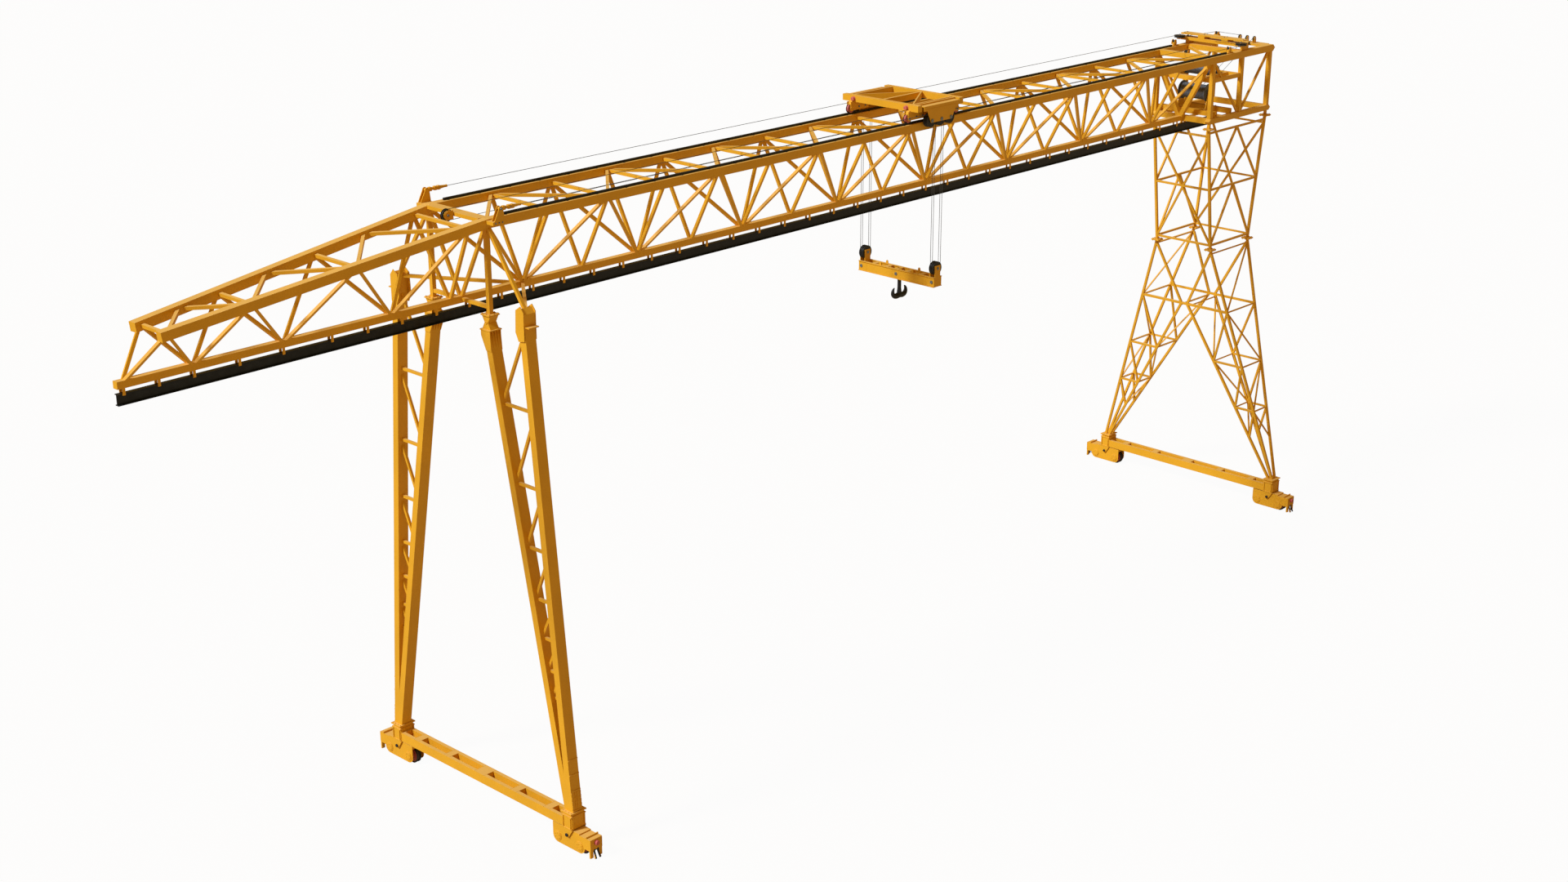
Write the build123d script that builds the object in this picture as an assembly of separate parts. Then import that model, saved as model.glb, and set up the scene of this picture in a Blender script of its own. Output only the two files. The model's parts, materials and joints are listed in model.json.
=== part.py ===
from build123d import *
from math import atan2, cos, degrees, hypot, radians, sin
import os

# Truss gantry crane with one cantilever nose, a hinged flexible leg and a rigid lattice tower.
# Sizes are in millimetres. +X runs from the nose to the tower, +Y to the far side, +Z up.
# The origin lies on the floor, halfway along and across the crane.

# Girder
panel = 1700
panel_count = 16
chord_half = 957
girder_depth = 1809
bottom_chord_z = 12026
top_chord_width = 200
top_chord_height = 200
bottom_chord_size = 150
web_bar = 68
web_post_bar = 70
top_bar = 72
rail_width = 50
rail_height = 50
rail_start = 400
rail_end_inset = 872
chord_overhang = 130

# Nose
nose_length = 8074
nose_end_overhang = 136
nose_tip_overhang = 160
nose_height_share = 0.4975
nose_bottom_shares = (0.0369, 0.2268, 0.5554, 0.8108, 1.0)
nose_top_shares = (0.387, 0.6813, 0.9045)
nose_brace_gap = 26.2256

# Monorail under the girder
monorail_height = 230
monorail_flange = 110
monorail_flange_thick = 16
monorail_web = 12
monorail_gap = 105
monorail_overhang = nose_end_overhang
hanger_pitch = 888
hanger_start = 170
hanger_width = 60
hanger_thick = 12
hanger_lap = 40
monorail_end_gap = 67

# Knee above the flexible leg
knee_post = 100
knee_beam_height = 80
knee_beam_width = 260
knee_beam_front = 130
post_flange_drop = 168
post_flange_size = 290
flange_thick = 25
knee_tie = 80

# Flexible leg
foot_z = 940
foot_half = 3074
leg_width = 275
leg_column = 180
foot_width = 270
foot_height = 795
hinge_height = 298
outer_top_half = 2149
outer_top_drop = 176
lacing_bar = 62
lacing_depth = 60
near_lacing_shares = (0.828, 0.671, 0.543, 0.438, 0.358, 0.291, 0.235)
gusset_height = 400
gusset_width = 300
gusset_thick = 24
head_plate_thick = 18
head_plate_points = ((100, -290), (100, 320), (-5, 450), (-150, 350), (-175, -130), (-85, -320))
leg_cap_size = 330
strut_size = 72
strut_rise = 105

# Sill beams, saddles and bogies
sill_width = 370
sill_height = 225
sill_top_z = 760
sill_window_width = 190
sill_window_count = 3
sill_window_length = 940
sill_centre_batten = 350
sill_end_wall = 60
sill_window_depth = 180
sill_batten = 200
saddle_length = 300
saddle_width = 400
saddle_plate_width = 460
saddle_plate_length = 340
saddle_bottom_z = 555
saddle_neck_height = 60
wheel_radius = 210
tread_radius = 188
wheel_width = 110
wheel_flange = 20
wheel_base = 720
wheel_hub_radius = 70
wheel_hub_width = 150
axle_radius = 35
bogie_half_width = 170
bogie_plate = 20
bogie_cheek_radius = 165
bogie_top_z = 510
bogie_box_z = 480
bogie_end = 721
bogie_end_width = 340
pivot_rise = 170
pivot_radius = 32
pivot_clearance = 0.3
boss_radius = 120
boss_thick = 12
ear_width = 340
ear_thick = 20
running_gap = 5
shaft_gap = 0.05
buffer_radius = 45
buffer_length = 70
tong_radius = 16
tong_floor_gap = 15

# Rigid tower
tower_x = 28682
tower_chord = 72
tower_brace = 56
tower_thin = 42
tower_slim = 34
tower_top_drop = 236
tower_top_half = 1531
tower_mid_z = 8039
tower_mid_half = 1026
ring_b_z = 9912
ring_a_z = 8172
portal_z = 6118
ring_one_z = 4425
ring_two_z = 3055
ring_low_z = 2156
foot_half_x = 80
outer_foot_half = 3125
inner_foot_half = 3000
portal_mid_half = 102
flange_size = 260
flange_plate = 20
lower_chord = 68
portal_bar = 70

# Winch house
house_post = 122
house_beam_height = 157
house_beam_width = 160
house_brace = 60
knee_brace = 130
platform_drop_share = 0.343
platform_beam = 125
skid_height = 150
drum_radius = 215
drum_length = 910
drum_flange_radius = 270
drum_flange = 25
drum_shaft_radius = 45
haul_drum_radius = 150
haul_drum_length = 1000
deck_sheave_radius = 170
deck_sheave_thick = 56

# Trolley
trolley_x = 14350
trolley_length = 1762
trolley_width = 2510
trolley_rise = 437
trolley_beam_height = 160
trolley_beam_width = 150
trolley_mid_beam = 70
trolley_plate_thick = 20
trolley_plate_top = 1350
trolley_plate_bottom = 800
trolley_sheave_pitch = 366
fall_half = 1198
fall_pitch = 65
trolley_wheel_radius = 115
trolley_tread_radius = 100
trolley_wheel_width = 80
trolley_wheel_base = 1866
trolley_box_length = 680
trolley_box_plate = 16
trolley_box_gap = 110
trolley_buffer_radius = 48
trolley_buffer_length = 70

# Hook beam and hook
hook_beam_length = 2580
hook_beam_height = 262
hook_beam_width = 335
hook_beam_plate = 16
hook_beam_flange = 60
hook_beam_top_z = 9895
sheave_radius = 176
sheave_groove_radius = 153
sheave_width = 130
sheave_rise = 222
cheek_width = 212
cheek_thick = 16
shank_radius = 50
hook_drop = 556
hook_thick = 90
rope_radius = 9

# Sheaves, anchors and winches
sheave_pin_radius = 25
return_sheave_radius = 138
return_groove_radius = 115
return_sheave_width = 60
return_sheave_rise = 55
return_sheave_reach = 275
return_cheek = 200
anchor_start = 90
anchor_lean = 65
anchor_base = 320
anchor_head = 110
anchor_plate = 16
anchor_gap = 74
anchor_link = 395
drum_stand_gap = 15
stand_thick = 30
stand_head = 160
stand_foot = 360
drum_lift = 175
haul_flange_radius = 185
haul_drum_lift = 59
haul_foot = 300
skid_member = 120
skid_length = 900
skid_width = 2000
skid_foot = 20
skid_wall = 14
hoist_drum_inset = 882
haul_drum_inset = 632
house_top_width = 200
house_top_height = 150
deck_back = 60
deck_front = 260
deck_near_reach = 43
deck_far_reach = 223
deck_plate_thick = 35
deck_gap = 40
deck_stool = 95
deck_groove_radius = 150
deck_sheave_back = 280
spacer_shares = (0.483, -0.372)
spacer_length = 225
end_plate_width = 400
end_plate_thick = 60
small_pitch = 250
small_start = -460
small_sheave_width = 30
small_ear = 16
small_radius = 60
guide_block = 150
guide_height = 110
trolley_plate_reach = 1295
trolley_plate_drop = 50
trolley_beam_half = 1040
trolley_sheave_rise = 63
trolley_sheave_radius = 172
trolley_groove_radius = 153
trolley_sheave_width = 130
trolley_axle_radius = 22
trolley_buffer_half = 880
batten_shares = (-0.62, -0.28, 0.0, 0.28, 0.62)
batten_width = 120
bearing_block = 90
shank_collar = 30
horn_outer = 147
horn_inner = 75
horn_half = 157
horn_opening_x = 118
horn_opening_z = 212
horn_tip_x = 165
trolley_plate_inset = 120
trolley_cap_drop = 37

# Worked-out places
nose_reach = nose_length + nose_end_overhang
house_reach = tower_x + tower_top_half + chord_overhang
leg_x = (nose_reach - house_reach) / 2
tower_at = leg_x + tower_x
trolley_at = leg_x + trolley_x
span = panel * panel_count
top_chord_z = bottom_chord_z + girder_depth
chord_top_z = top_chord_z + top_chord_height / 2
rail_top_z = chord_top_z + rail_height
post_flange_z = bottom_chord_z - post_flange_drop
column_top_z = post_flange_z - hinge_height
outer_top_z = bottom_chord_z - outer_top_drop
strut_z = bottom_chord_z + strut_rise
tower_top_z = bottom_chord_z - tower_top_drop
trolley_top_z = rail_top_z + trolley_rise
trolley_cap_z = trolley_top_z - trolley_cap_drop
trolley_sheave_z = chord_top_z + trolley_sheave_rise
rope_z = trolley_sheave_z + trolley_groove_radius + rope_radius
deck_low_z = chord_top_z + deck_stool
sheave_z = hook_beam_top_z + sheave_rise
hook_low_z = hook_beam_top_z - hook_beam_height - hook_drop
side_slope = hypot(chord_half, girder_depth)
side_angle = degrees(atan2(chord_half, girder_depth))
wheel_z = wheel_radius
pivot_z = wheel_z + pivot_rise


def box(x0, x1, y0, y1, z0, z1):
    """A block between two values on each axis."""
    middle = Pos((x0 + x1) / 2, (y0 + y1) / 2, (z0 + z1) / 2)
    return middle * Box(abs(x1 - x0), abs(y1 - y0), abs(z1 - z0))


def bar(start, end, width, depth, across=(0, 1, 0)):
    """A straight bar of rectangular section: width lies along the across direction."""
    a, b = Vector(*start), Vector(*end)
    plane = Plane(origin=a, x_dir=Vector(*across), z_dir=b - a)
    return extrude(plane * Rectangle(width, depth), amount=(b - a).length)


def rod(start, end, radius):
    """A round bar between two points."""
    a, b = Vector(*start), Vector(*end)
    return extrude(Plane(origin=a, z_dir=b - a) * Circle(radius), amount=(b - a).length)


def strip(start, end, width):
    """A flat bar outline between two points of a sketch."""
    (x0, y0), (x1, y1) = start, end
    turn = degrees(atan2(y1 - y0, x1 - x0))
    place = Pos((x0 + x1) / 2, (y0 + y1) / 2) * Rot(0, 0, turn)
    return place * Rectangle(hypot(x1 - x0, y1 - y0), width)


def lattice(plane, strips, thickness, cuts=()):
    """Bars of one flat lattice face, fused where they meet and cut off at the chords."""
    outline = Sketch() + [strip(*s) for s in strips]
    face = extrude(plane * outline, amount=thickness / 2, both=True)
    for cut in cuts:
        face = face - cut
    return face


def save(shapes, name):
    """Write one node, with every solid that it holds."""
    solids = [s for shape in shapes for s in shape.solids()]
    node = Compound(label=name, children=solids)
    export_step(node, "parts/" + name + ".step")


def side_sign(side):
    return -1 if side == "near" else 1


def side_plane(side):
    """The inclined plane of one girder side: x along the crane, y up the slope."""
    sign = side_sign(side)
    up = Vector(0, sign * chord_half, girder_depth).normalized()
    normal = Vector(1, 0, 0).cross(up)
    return Plane(origin=(leg_x, 0, bottom_chord_z), x_dir=(1, 0, 0), z_dir=normal)


def nose_top_places():
    """The top nodes' distances from the leg; the first brace clears the return sheave."""
    first = return_sheave_reach + return_sheave_radius + nose_brace_gap
    return [first] + [nose_length * s for s in nose_top_shares]


def nose_top_point(distance, side):
    """A point on the sloping top chord of the nose, a distance out from the leg."""
    fall = 1 - (1 - nose_height_share) * distance / (nose_length * nose_top_shares[-1])
    y = side_sign(side) * chord_half * fall
    return (leg_x - distance, y, bottom_chord_z + girder_depth * fall)


# Chords, rails and monorail

def top_chord(side):
    """The main chord, cut to a point at the winch house."""
    y = side_sign(side) * chord_half
    bevel = top_chord_height / 2
    right = leg_x + house_reach
    outline = Polyline((leg_x, top_chord_z - bevel), (right - bevel, top_chord_z - bevel),
                       (right, top_chord_z), (right - bevel, chord_top_z), (leg_x, chord_top_z),
                       close=True)
    plane = Plane(origin=(0, y, 0), x_dir=(1, 0, 0), z_dir=(0, -1, 0))
    return extrude(plane * make_face(outline), amount=top_chord_width / 2, both=True)


def nose_chord(side):
    """The sloping chord, cut square against the main chord at the knee."""
    tip = nose_length * nose_top_shares[-1] + nose_tip_overhang
    start = nose_top_point(-top_chord_width, side)
    chord = bar(start, nose_top_point(tip, side), top_chord_width, top_chord_height)
    knee_cut = box(leg_x, leg_x + panel, -2 * chord_half, 2 * chord_half,
                   bottom_chord_z, top_chord_z + girder_depth)
    return chord - knee_cut


def bottom_chord():
    half = bottom_chord_size / 2
    return box(leg_x - nose_reach, post_places()[0] - house_beam_width / 2, -half, half,
               bottom_chord_z - half, bottom_chord_z + half)


def rail(side):
    y = side_sign(side) * chord_half
    base = top_chord_z + top_chord_height / 2
    return box(leg_x + rail_start, tower_at - rail_end_inset, y - rail_width / 2, y + rail_width / 2,
               base, base + rail_height)


monorail_top_z = bottom_chord_z - bottom_chord_size / 2 - monorail_gap


def monorail():
    """The I-section runway below the bottom chord."""
    web_height = monorail_height - 2 * monorail_flange_thick
    flange = Rectangle(monorail_flange, monorail_flange_thick)
    rise = (monorail_height - monorail_flange_thick) / 2
    section = Rectangle(monorail_web, web_height) + Pos(0, rise) * flange + Pos(0, -rise) * flange
    start = (leg_x - nose_length - monorail_overhang, 0, monorail_top_z - monorail_height / 2)
    plane = Plane(origin=start, x_dir=(0, 1, 0), z_dir=(1, 0, 0))
    length = nose_length + monorail_overhang + tower_x - monorail_end_gap
    return extrude(plane * section, amount=length)


def hanger(x):
    """A bent clip that wraps the top flange of the monorail."""
    half = monorail_flange / 2
    drop = monorail_gap + monorail_flange_thick + hanger_lap / 2
    plane = Plane(origin=(x, 0, monorail_top_z + monorail_gap), x_dir=(0, 1, 0), z_dir=(1, 0, 0))
    outer = half + hanger_thick
    shell = Pos(0, -drop / 2) * Rectangle(2 * outer, drop)
    hollow = Pos(0, -drop / 2 - hanger_thick) * Rectangle(2 * half, drop)
    return extrude(plane * (shell - hollow), amount=hanger_width / 2, both=True)


def hanger_places():
    nose = [-nose_length * s for s in nose_hanger_shares]
    count = int((span - hanger_start) / hanger_pitch) + 1
    main = [hanger_start + hanger_pitch * i for i in range(count)]
    return [leg_x + x for x in nose + main]


nose_hanger_shares = (0.088, 0.199, 0.307, 0.416, 0.560, 0.686, 0.812, 0.907, 1.0)


# Girder lattice

def main_side(side):
    """Posts at every node and diagonals over two panels."""
    strips = [((panel * i, 0), (panel * i, side_slope), web_post_bar)
              for i in range(panel_count)]
    for i in range(panel_count):
        low, high = (i + 1, i) if i % 2 == 0 else (i, i + 1)
        strips.append(((panel * low, 0), (panel * high, side_slope), web_bar))
    cuts = [top_chord(side), nose_chord(side), bottom_chord(), house_post_cut(side),
            knee_beam(), knee_post_block(side), knee_tie_bar(side), end_brace(side_sign(side)),
            house_struts()[0]]
    return lattice(side_plane(side), strips, web_bar, cuts)


def house_post_cut(side):
    """Room for the first post of the winch house and the braces beside it."""
    y = side_sign(side) * chord_half
    half = house_post / 2 + running_gap
    x = tower_at - tower_top_half
    return box(x - half, x + half, y - half, y + half, bottom_chord_z, top_chord_z)


def nose_side(side):
    slope = side_slope
    top_nodes = nose_top_places()
    bottom_nodes = [nose_length * s for s in nose_bottom_shares]
    strips = []
    for i, distance in enumerate(top_nodes):
        height = slope * (nose_top_point(distance, side)[2] - bottom_chord_z) / girder_depth
        top = (-distance, height)
        strips.append((top, (-bottom_nodes[i], 0), web_bar))
        strips.append((top, (-bottom_nodes[i + 1], 0), web_bar))
    return lattice(side_plane(side), strips, web_bar, [nose_chord(side), bottom_chord()])


def main_top():
    plane = Plane(origin=(leg_x, 0, top_chord_z))
    strips = []
    for i in range(1, panel_count):
        strips.append(((panel * i, -chord_half), (panel * i, chord_half), top_bar))
    for i in range(panel_count):
        sign = -1 if i % 2 == 0 else 1
        strips.append(((panel * i, sign * chord_half), (panel * (i + 1), -sign * chord_half), top_bar))
    cuts = [top_chord("near"), top_chord("far"), knee_beam(), house_end_cut(),
            nose_chord("near"), nose_chord("far"), house_struts()[0]]
    return lattice(plane, strips, top_bar, cuts)


def house_end_cut():
    x = tower_at - tower_top_half
    return box(x - house_post / 2, x + panel, -chord_half, chord_half,
               top_chord_z - girder_depth / 2, top_chord_z + girder_depth / 2)


def nose_top():
    """Cross struts at the nodes and V bars from the middle of the far chord's bays."""
    tip = nose_top_point(nose_length, "near")
    knee = (leg_x, 0, top_chord_z)
    along = Vector(tip[0] - knee[0], 0, tip[2] - knee[2])
    scale = along.length / nose_length
    plane = Plane(origin=knee, x_dir=along, z_dir=along.cross(Vector(0, 1, 0)))
    far = 1 if plane.y_dir.Y > 0 else -1
    nodes = nose_top_places()

    def spot(distance, side):
        return (distance * scale, far * nose_top_point(distance, side)[1])

    strips = [(spot(d, "near"), spot(d, "far"), top_bar) for d in nodes]
    for a, b in zip(nodes, nodes[1:]):
        middle = spot((a + b) / 2, "far")
        strips.append((middle, spot(a, "near"), top_bar))
        strips.append((middle, spot(b, "near"), top_bar))
    return lattice(plane, strips, top_bar, [nose_chord("near"), nose_chord("far"), knee_beam()])


# Knee frame

def knee_beam():
    inner = chord_half - top_chord_width / 2
    high = top_chord_z + top_chord_height / 2
    beam = box(leg_x - knee_beam_width + knee_beam_front, leg_x + knee_beam_front, -inner, inner,
               high - knee_beam_height, high)
    return beam - nose_chord("near") - nose_chord("far")


def knee_post_block(side):
    y = side_sign(side) * chord_half
    half = knee_post / 2
    post = box(leg_x - half, leg_x + half, y - half, y + half,
               post_flange_z + flange_thick, top_chord_z)
    return post - top_chord(side) - nose_chord(side)


def post_flange(side):
    y = side_sign(side) * chord_half
    half = post_flange_size / 2
    return box(leg_x - half, leg_x + half, y - half, y + half,
               post_flange_z, post_flange_z + flange_thick)


def knee_tie_bar(side):
    sign = side_sign(side)
    half = knee_tie / 2
    return box(leg_x - half, leg_x + half, sign * bottom_chord_size / 2,
               sign * (chord_half - knee_post / 2), bottom_chord_z - half, bottom_chord_z + half)


# Flexible leg

def leg_point(share, side, outer):
    """A point on the axis of one leg column, by its share of the way up."""
    sign = side_sign(side)
    spread = (foot_width - leg_column) / 2
    foot = foot_half + (spread if outer else -spread)
    top, top_z = (outer_top_half, outer_top_z) if outer else (chord_half, column_top_z)
    y = foot + (top - foot) * share
    return (sign * y, foot_z + (top_z - foot_z) * share)


def leg_plane():
    return Plane(origin=(leg_x, 0, 0), x_dir=(0, 1, 0), z_dir=(1, 0, 0))


def column_outline(side, outer):
    half = leg_column / 2
    (y0, z0), (y1, z1) = leg_point(0, side, outer), leg_point(1, side, outer)
    points = [(y0 - half, z0), (y0 + half, z0), (y1 + half, z1), (y1 - half, z1)]
    return make_face(Polyline(*points, close=True))


def leg_columns(side):
    """Both columns of one leg, with the cap plate that carries the hinge."""
    outline = column_outline(side, True) + column_outline(side, False)
    columns = extrude(leg_plane() * outline, amount=leg_width / 2, both=True)
    y = side_sign(side) * chord_half
    half = leg_cap_size / 2
    return columns + box(leg_x - half, leg_x + half, y - half, y + half,
                         column_top_z - flange_thick, column_top_z)


def leg_lacing(side):
    """Horizontals with a diagonal rising outwards from the foot of each bay."""
    height = outer_top_z - foot_z
    strips = []
    previous = leg_point(1, side, True)
    for share in near_lacing_shares:
        z = foot_z + share * height
        inner = leg_point((z - foot_z) / (column_top_z - foot_z), side, False)
        outer = leg_point(share, side, True)
        strips.append((inner, outer, lacing_bar))
        strips.append((previous, inner, lacing_bar))
        previous = outer
    return lattice(leg_plane(), strips, lacing_depth, [leg_columns(side), outer_gusset(side)])


def leg_hinge(side):
    """The waisted fork between the post flange and the ribbed cap of the inner column."""
    sign = side_sign(side)
    y = sign * chord_half
    low, high = column_top_z, post_flange_z
    middle = (low + high) / 2
    wide, waist = leg_width / 2, leg_width / 5
    points = [(y - wide, high), (y + wide, high), (y + waist, middle), (y + wide, low),
              (y - wide, low), (y - waist, middle)]
    outline = make_face(Polyline(*points, close=True))
    return extrude(leg_plane() * outline, amount=leg_width / 2 - gusset_thick, both=True)


def outer_gusset(side):
    """The thick head of the outer column, where both struts come in."""
    sign = side_sign(side)
    low = outer_top_z
    half = leg_column / 2
    y = sign * outer_top_half
    points = [(y - half, low), (y + half, low), (y + half, strut_z), (y, low + gusset_height),
              (y - half, strut_z)]
    outline = make_face(Polyline(*points, close=True))
    return extrude(leg_plane() * outline, amount=gusset_width / 2, both=True)


def head_plates(side):
    """Six-cornered plates on both faces of the outer column's head."""
    sign = side_sign(side)
    points = [(sign * (outer_top_half + out), outer_top_z + up) for out, up in head_plate_points]
    outline = make_face(Polyline(*points, close=True))
    plates = []
    for face in (-1, 1):
        middle = leg_x + face * (gusset_width + head_plate_thick) / 2
        plane = Plane(origin=(middle, 0, 0), x_dir=(0, 1, 0), z_dir=(1, 0, 0))
        plates.append(extrude(plane * outline, amount=head_plate_thick / 2, both=True))
    return plates


def gusset_flange(side):
    sign = side_sign(side)
    y0 = sign * (outer_top_half + leg_column / 2)
    half = leg_width / 2
    return box(leg_x - half, leg_x + half, y0, y0 + sign * half,
               outer_top_z, outer_top_z + gusset_thick)


def knee_strut(side):
    sign = side_sign(side)
    start = (leg_x, sign * chord_half, top_chord_z)
    end = (leg_x, sign * outer_top_half, strut_z)
    strut = bar(start, end, strut_size, strut_size, (1, 0, 0))
    return strut - top_chord(side) - nose_chord(side) - knee_post_block(side) - outer_gusset(side)


def low_strut(side):
    sign = side_sign(side)
    start = (leg_x + panel, 0, bottom_chord_z)
    end = (leg_x, sign * outer_top_half, strut_z)
    strut = bar(start, end, strut_size, strut_size, (0, 0, 1))
    for plate in head_plates(side):
        strut = strut - plate
    return strut - bottom_chord() - outer_gusset(side) - knee_strut(side)


# Sill beams and saddles

def sill_beam(x):
    """A box beam with a row of windows in its top plate."""
    half_length = foot_half - saddle_length / 2
    beam = box(x - sill_width / 2, x + sill_width / 2, -half_length, half_length,
               sill_top_z - sill_height, sill_top_z)
    for s in (-1, 1):
        for i in range(sill_window_count):
            start = sill_centre_batten / 2 + i * (sill_window_length + sill_batten)
            end = min(start + sill_window_length, half_length - sill_end_wall)
            beam = beam - box(x - sill_window_width / 2, x + sill_window_width / 2,
                              s * start, s * end, sill_top_z - sill_window_depth, sill_top_z)
    return beam


def saddle(x, side):
    """The ribbed box that carries a leg foot and hangs on the bogie pivot."""
    y = side_sign(side) * foot_half

    def slab(width, length, low, high):
        return box(x - width / 2, x + width / 2, y - length / 2, y + length / 2, low, high)

    plate = flange_thick
    neck_low = foot_z - plate - saddle_neck_height
    body = slab(saddle_width, saddle_length, saddle_bottom_z, neck_low)
    body = body + slab(saddle_width - plate, saddle_length - plate, neck_low, foot_z - plate)
    body = body + slab(saddle_plate_width, saddle_plate_length, foot_z - plate, foot_z)
    body = body + slab(saddle_plate_width - plate, saddle_plate_length - plate,
                       neck_low - plate, neck_low)
    return body + slab(saddle_plate_width - plate, saddle_length,
                       saddle_bottom_z - plate, saddle_bottom_z)


def pivot_ear(x, side, face):
    """A triangular ear below the saddle, outside the bogie, for the pivot pin."""
    y = side_sign(side) * foot_half
    top = saddle_bottom_z - flange_thick
    half = ear_width / 2
    low = pivot_z - 2 * pivot_radius
    points = [(y - half, top), (y - pivot_radius, low), (y + pivot_radius, low), (y + half, top)]
    outline = make_face(Polyline(*points, close=True))
    start = x + face * (bogie_half_width + boss_thick + running_gap)
    plane = Plane(origin=(start, 0, 0), x_dir=(0, 1, 0), z_dir=(1, 0, 0))
    return extrude(plane * outline, amount=face * ear_thick)


def pivot_pin(x, side):
    y = side_sign(side) * foot_half
    reach = bogie_half_width + boss_thick + running_gap + 2 * ear_thick
    return rod((x - reach, y, pivot_z), (x + reach, y, pivot_z), pivot_radius)


def pivot_set(x, side):
    ears = pivot_ear(x, side, 1) + pivot_ear(x, side, -1)
    return ears + pivot_pin(x, side)


# Bogies

def bogie(x, side):
    """Two cheek plates joined by a top plate and an end box, open below for the wheels."""
    sign = side_sign(side)
    y = sign * foot_half
    cheek = bogie_cheek_radius
    half = wheel_base / 2
    low = wheel_z - cheek
    plane = Plane(origin=(x, 0, 0), x_dir=(0, 1, 0), z_dir=(1, 0, 0))
    ends = [Pos(y + s * half, wheel_z) * Circle(cheek) for s in (-1, 1)]
    middle = Pos(y, (low + bogie_top_z) / 2) * Rectangle(2 * half, bogie_top_z - low)
    inner = y - sign * (half + cheek)
    outer = y + sign * bogie_end
    upper = Pos((inner + y) / 2, (wheel_z + bogie_top_z) / 2) * Rectangle(
        abs(y - inner), bogie_top_z - wheel_z)
    box_mid = Pos((outer + y) / 2, (wheel_z + bogie_box_z) / 2) * Rectangle(
        abs(outer - y), bogie_box_z - wheel_z)
    outline = middle + ends + upper + box_mid
    solid = extrude(plane * outline, amount=bogie_half_width, both=True)
    room = bogie_half_width - bogie_plate
    roof = wheel_z + wheel_radius + 2 * running_gap
    span_y = half + wheel_radius + 2 * running_gap
    pocket = box(x - room, x + room, y - span_y, y + span_y, 0, roof)
    solid = solid - pocket
    end_low = wheel_z - bogie_cheek_radius - tong_floor_gap / 2
    y_in = outer - sign * 2 * bogie_plate
    end_box = box(x - bogie_half_width, x + bogie_half_width, y_in, outer, wheel_z, bogie_box_z)
    foot = box(x - bogie_half_width, x - bogie_half_width / 2, y_in, outer, end_low, wheel_z)
    foot = foot + box(x + bogie_half_width / 2, x + bogie_half_width, y_in, outer, end_low, wheel_z)
    solid = solid + end_box + foot
    reach = bogie_half_width + boss_thick
    for s in (-1, 1):
        centre = y + s * half
        for face in (-1, 1):
            disc = rod((x + face * bogie_half_width, centre, wheel_z),
                       (x + face * reach, centre, wheel_z), boss_radius)
            solid = solid + disc
        bore = axle_radius + shaft_gap
        solid = solid - rod((x - bogie_half_width, centre, wheel_z),
                            (x + bogie_half_width, centre, wheel_z), bore)
    hole = rod((x - 2 * reach, y, pivot_z), (x + 2 * reach, y, pivot_z),
               pivot_radius + pivot_clearance)
    return solid - hole


def bogie_buffer(x, side):
    sign = side_sign(side)
    y = sign * (foot_half + bogie_end)
    z = (wheel_z + bogie_box_z) / 2 + buffer_radius
    return rod((x, y, z), (x, y + sign * buffer_length, z), buffer_radius)


def rail_tongs(x, side):
    sign = side_sign(side)
    y = sign * (foot_half + bogie_end - bogie_plate)
    low = tong_floor_gap + tong_radius
    prongs = []
    for s in (-1, 1):
        start = (x + s * bogie_plate * 2, y, wheel_z - running_gap)
        end = (x + s * bogie_plate * 4, y + sign * buffer_length, low)
        prongs.append(rod(start, end, tong_radius))
    return prongs


def crane_wheel(x, y):
    """A double-flanged wheel with its axle, turned about X."""
    half = wheel_width / 2
    hub = wheel_hub_width / 2
    reach = bogie_half_width - running_gap / 2
    points = [(0, 0), (reach, 0), (reach, axle_radius), (hub, axle_radius),
              (hub, wheel_hub_radius), (half, wheel_hub_radius), (half, wheel_radius),
              (half - wheel_flange, wheel_radius), (half - wheel_flange, tread_radius),
              (0, tread_radius)]
    profile = make_face(Polyline(*points, close=True))
    turned = revolve(profile, Axis.X)
    whole = turned + mirror(turned, Plane.YZ)
    return Pos(x, y, wheel_z) * whole


# Tower

def tower_half(z):
    """Half the tower's length along X at a height above the mid joint."""
    share = (z - tower_mid_z) / (tower_top_z - tower_mid_z)
    return tower_mid_half + (tower_top_half - tower_mid_half) * share


def lower_half(z):
    share = (z - foot_z) / (tower_mid_z - foot_z)
    return foot_half_x + (tower_mid_half - foot_half_x) * share


def outer_y(z):
    share = (z - foot_z) / (tower_mid_z - foot_z)
    return outer_foot_half + (chord_half - outer_foot_half) * share


def inner_y(z):
    share = (z - foot_z) / (portal_z - foot_z)
    return inner_foot_half + (portal_mid_half - inner_foot_half) * share


def trimmed_bar(start, end, width, low, high):
    """A slanting leg chord cut level at both ends."""
    a, b = Vector(*start), Vector(*end)
    along = (b - a).normalized() * width
    chord = bar(tuple(a - along), tuple(b + along), width, width)
    return chord & box(a.X - tower_x, a.X + tower_x, -tower_x, tower_x, low, high)


def upper_chords():
    chords = []
    for sx in (-1, 1):
        for sy in (-1, 1):
            a = (tower_at + sx * tower_mid_half, sy * chord_half, tower_mid_z)
            b = (tower_at + sx * tower_top_half, sy * chord_half, tower_top_z)
            chords.append(trimmed_bar(a, b, tower_chord, tower_mid_z + flange_plate,
                                      tower_top_z - flange_plate))
    return chords


def outer_chords():
    chords = []
    for sx in (-1, 1):
        for sy in (-1, 1):
            a = (tower_at + sx * foot_half_x, sy * outer_foot_half, foot_z)
            b = (tower_at + sx * tower_mid_half, sy * chord_half, tower_mid_z)
            chords.append(trimmed_bar(a, b, lower_chord, foot_z, tower_mid_z - flange_plate))
    return chords


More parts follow.
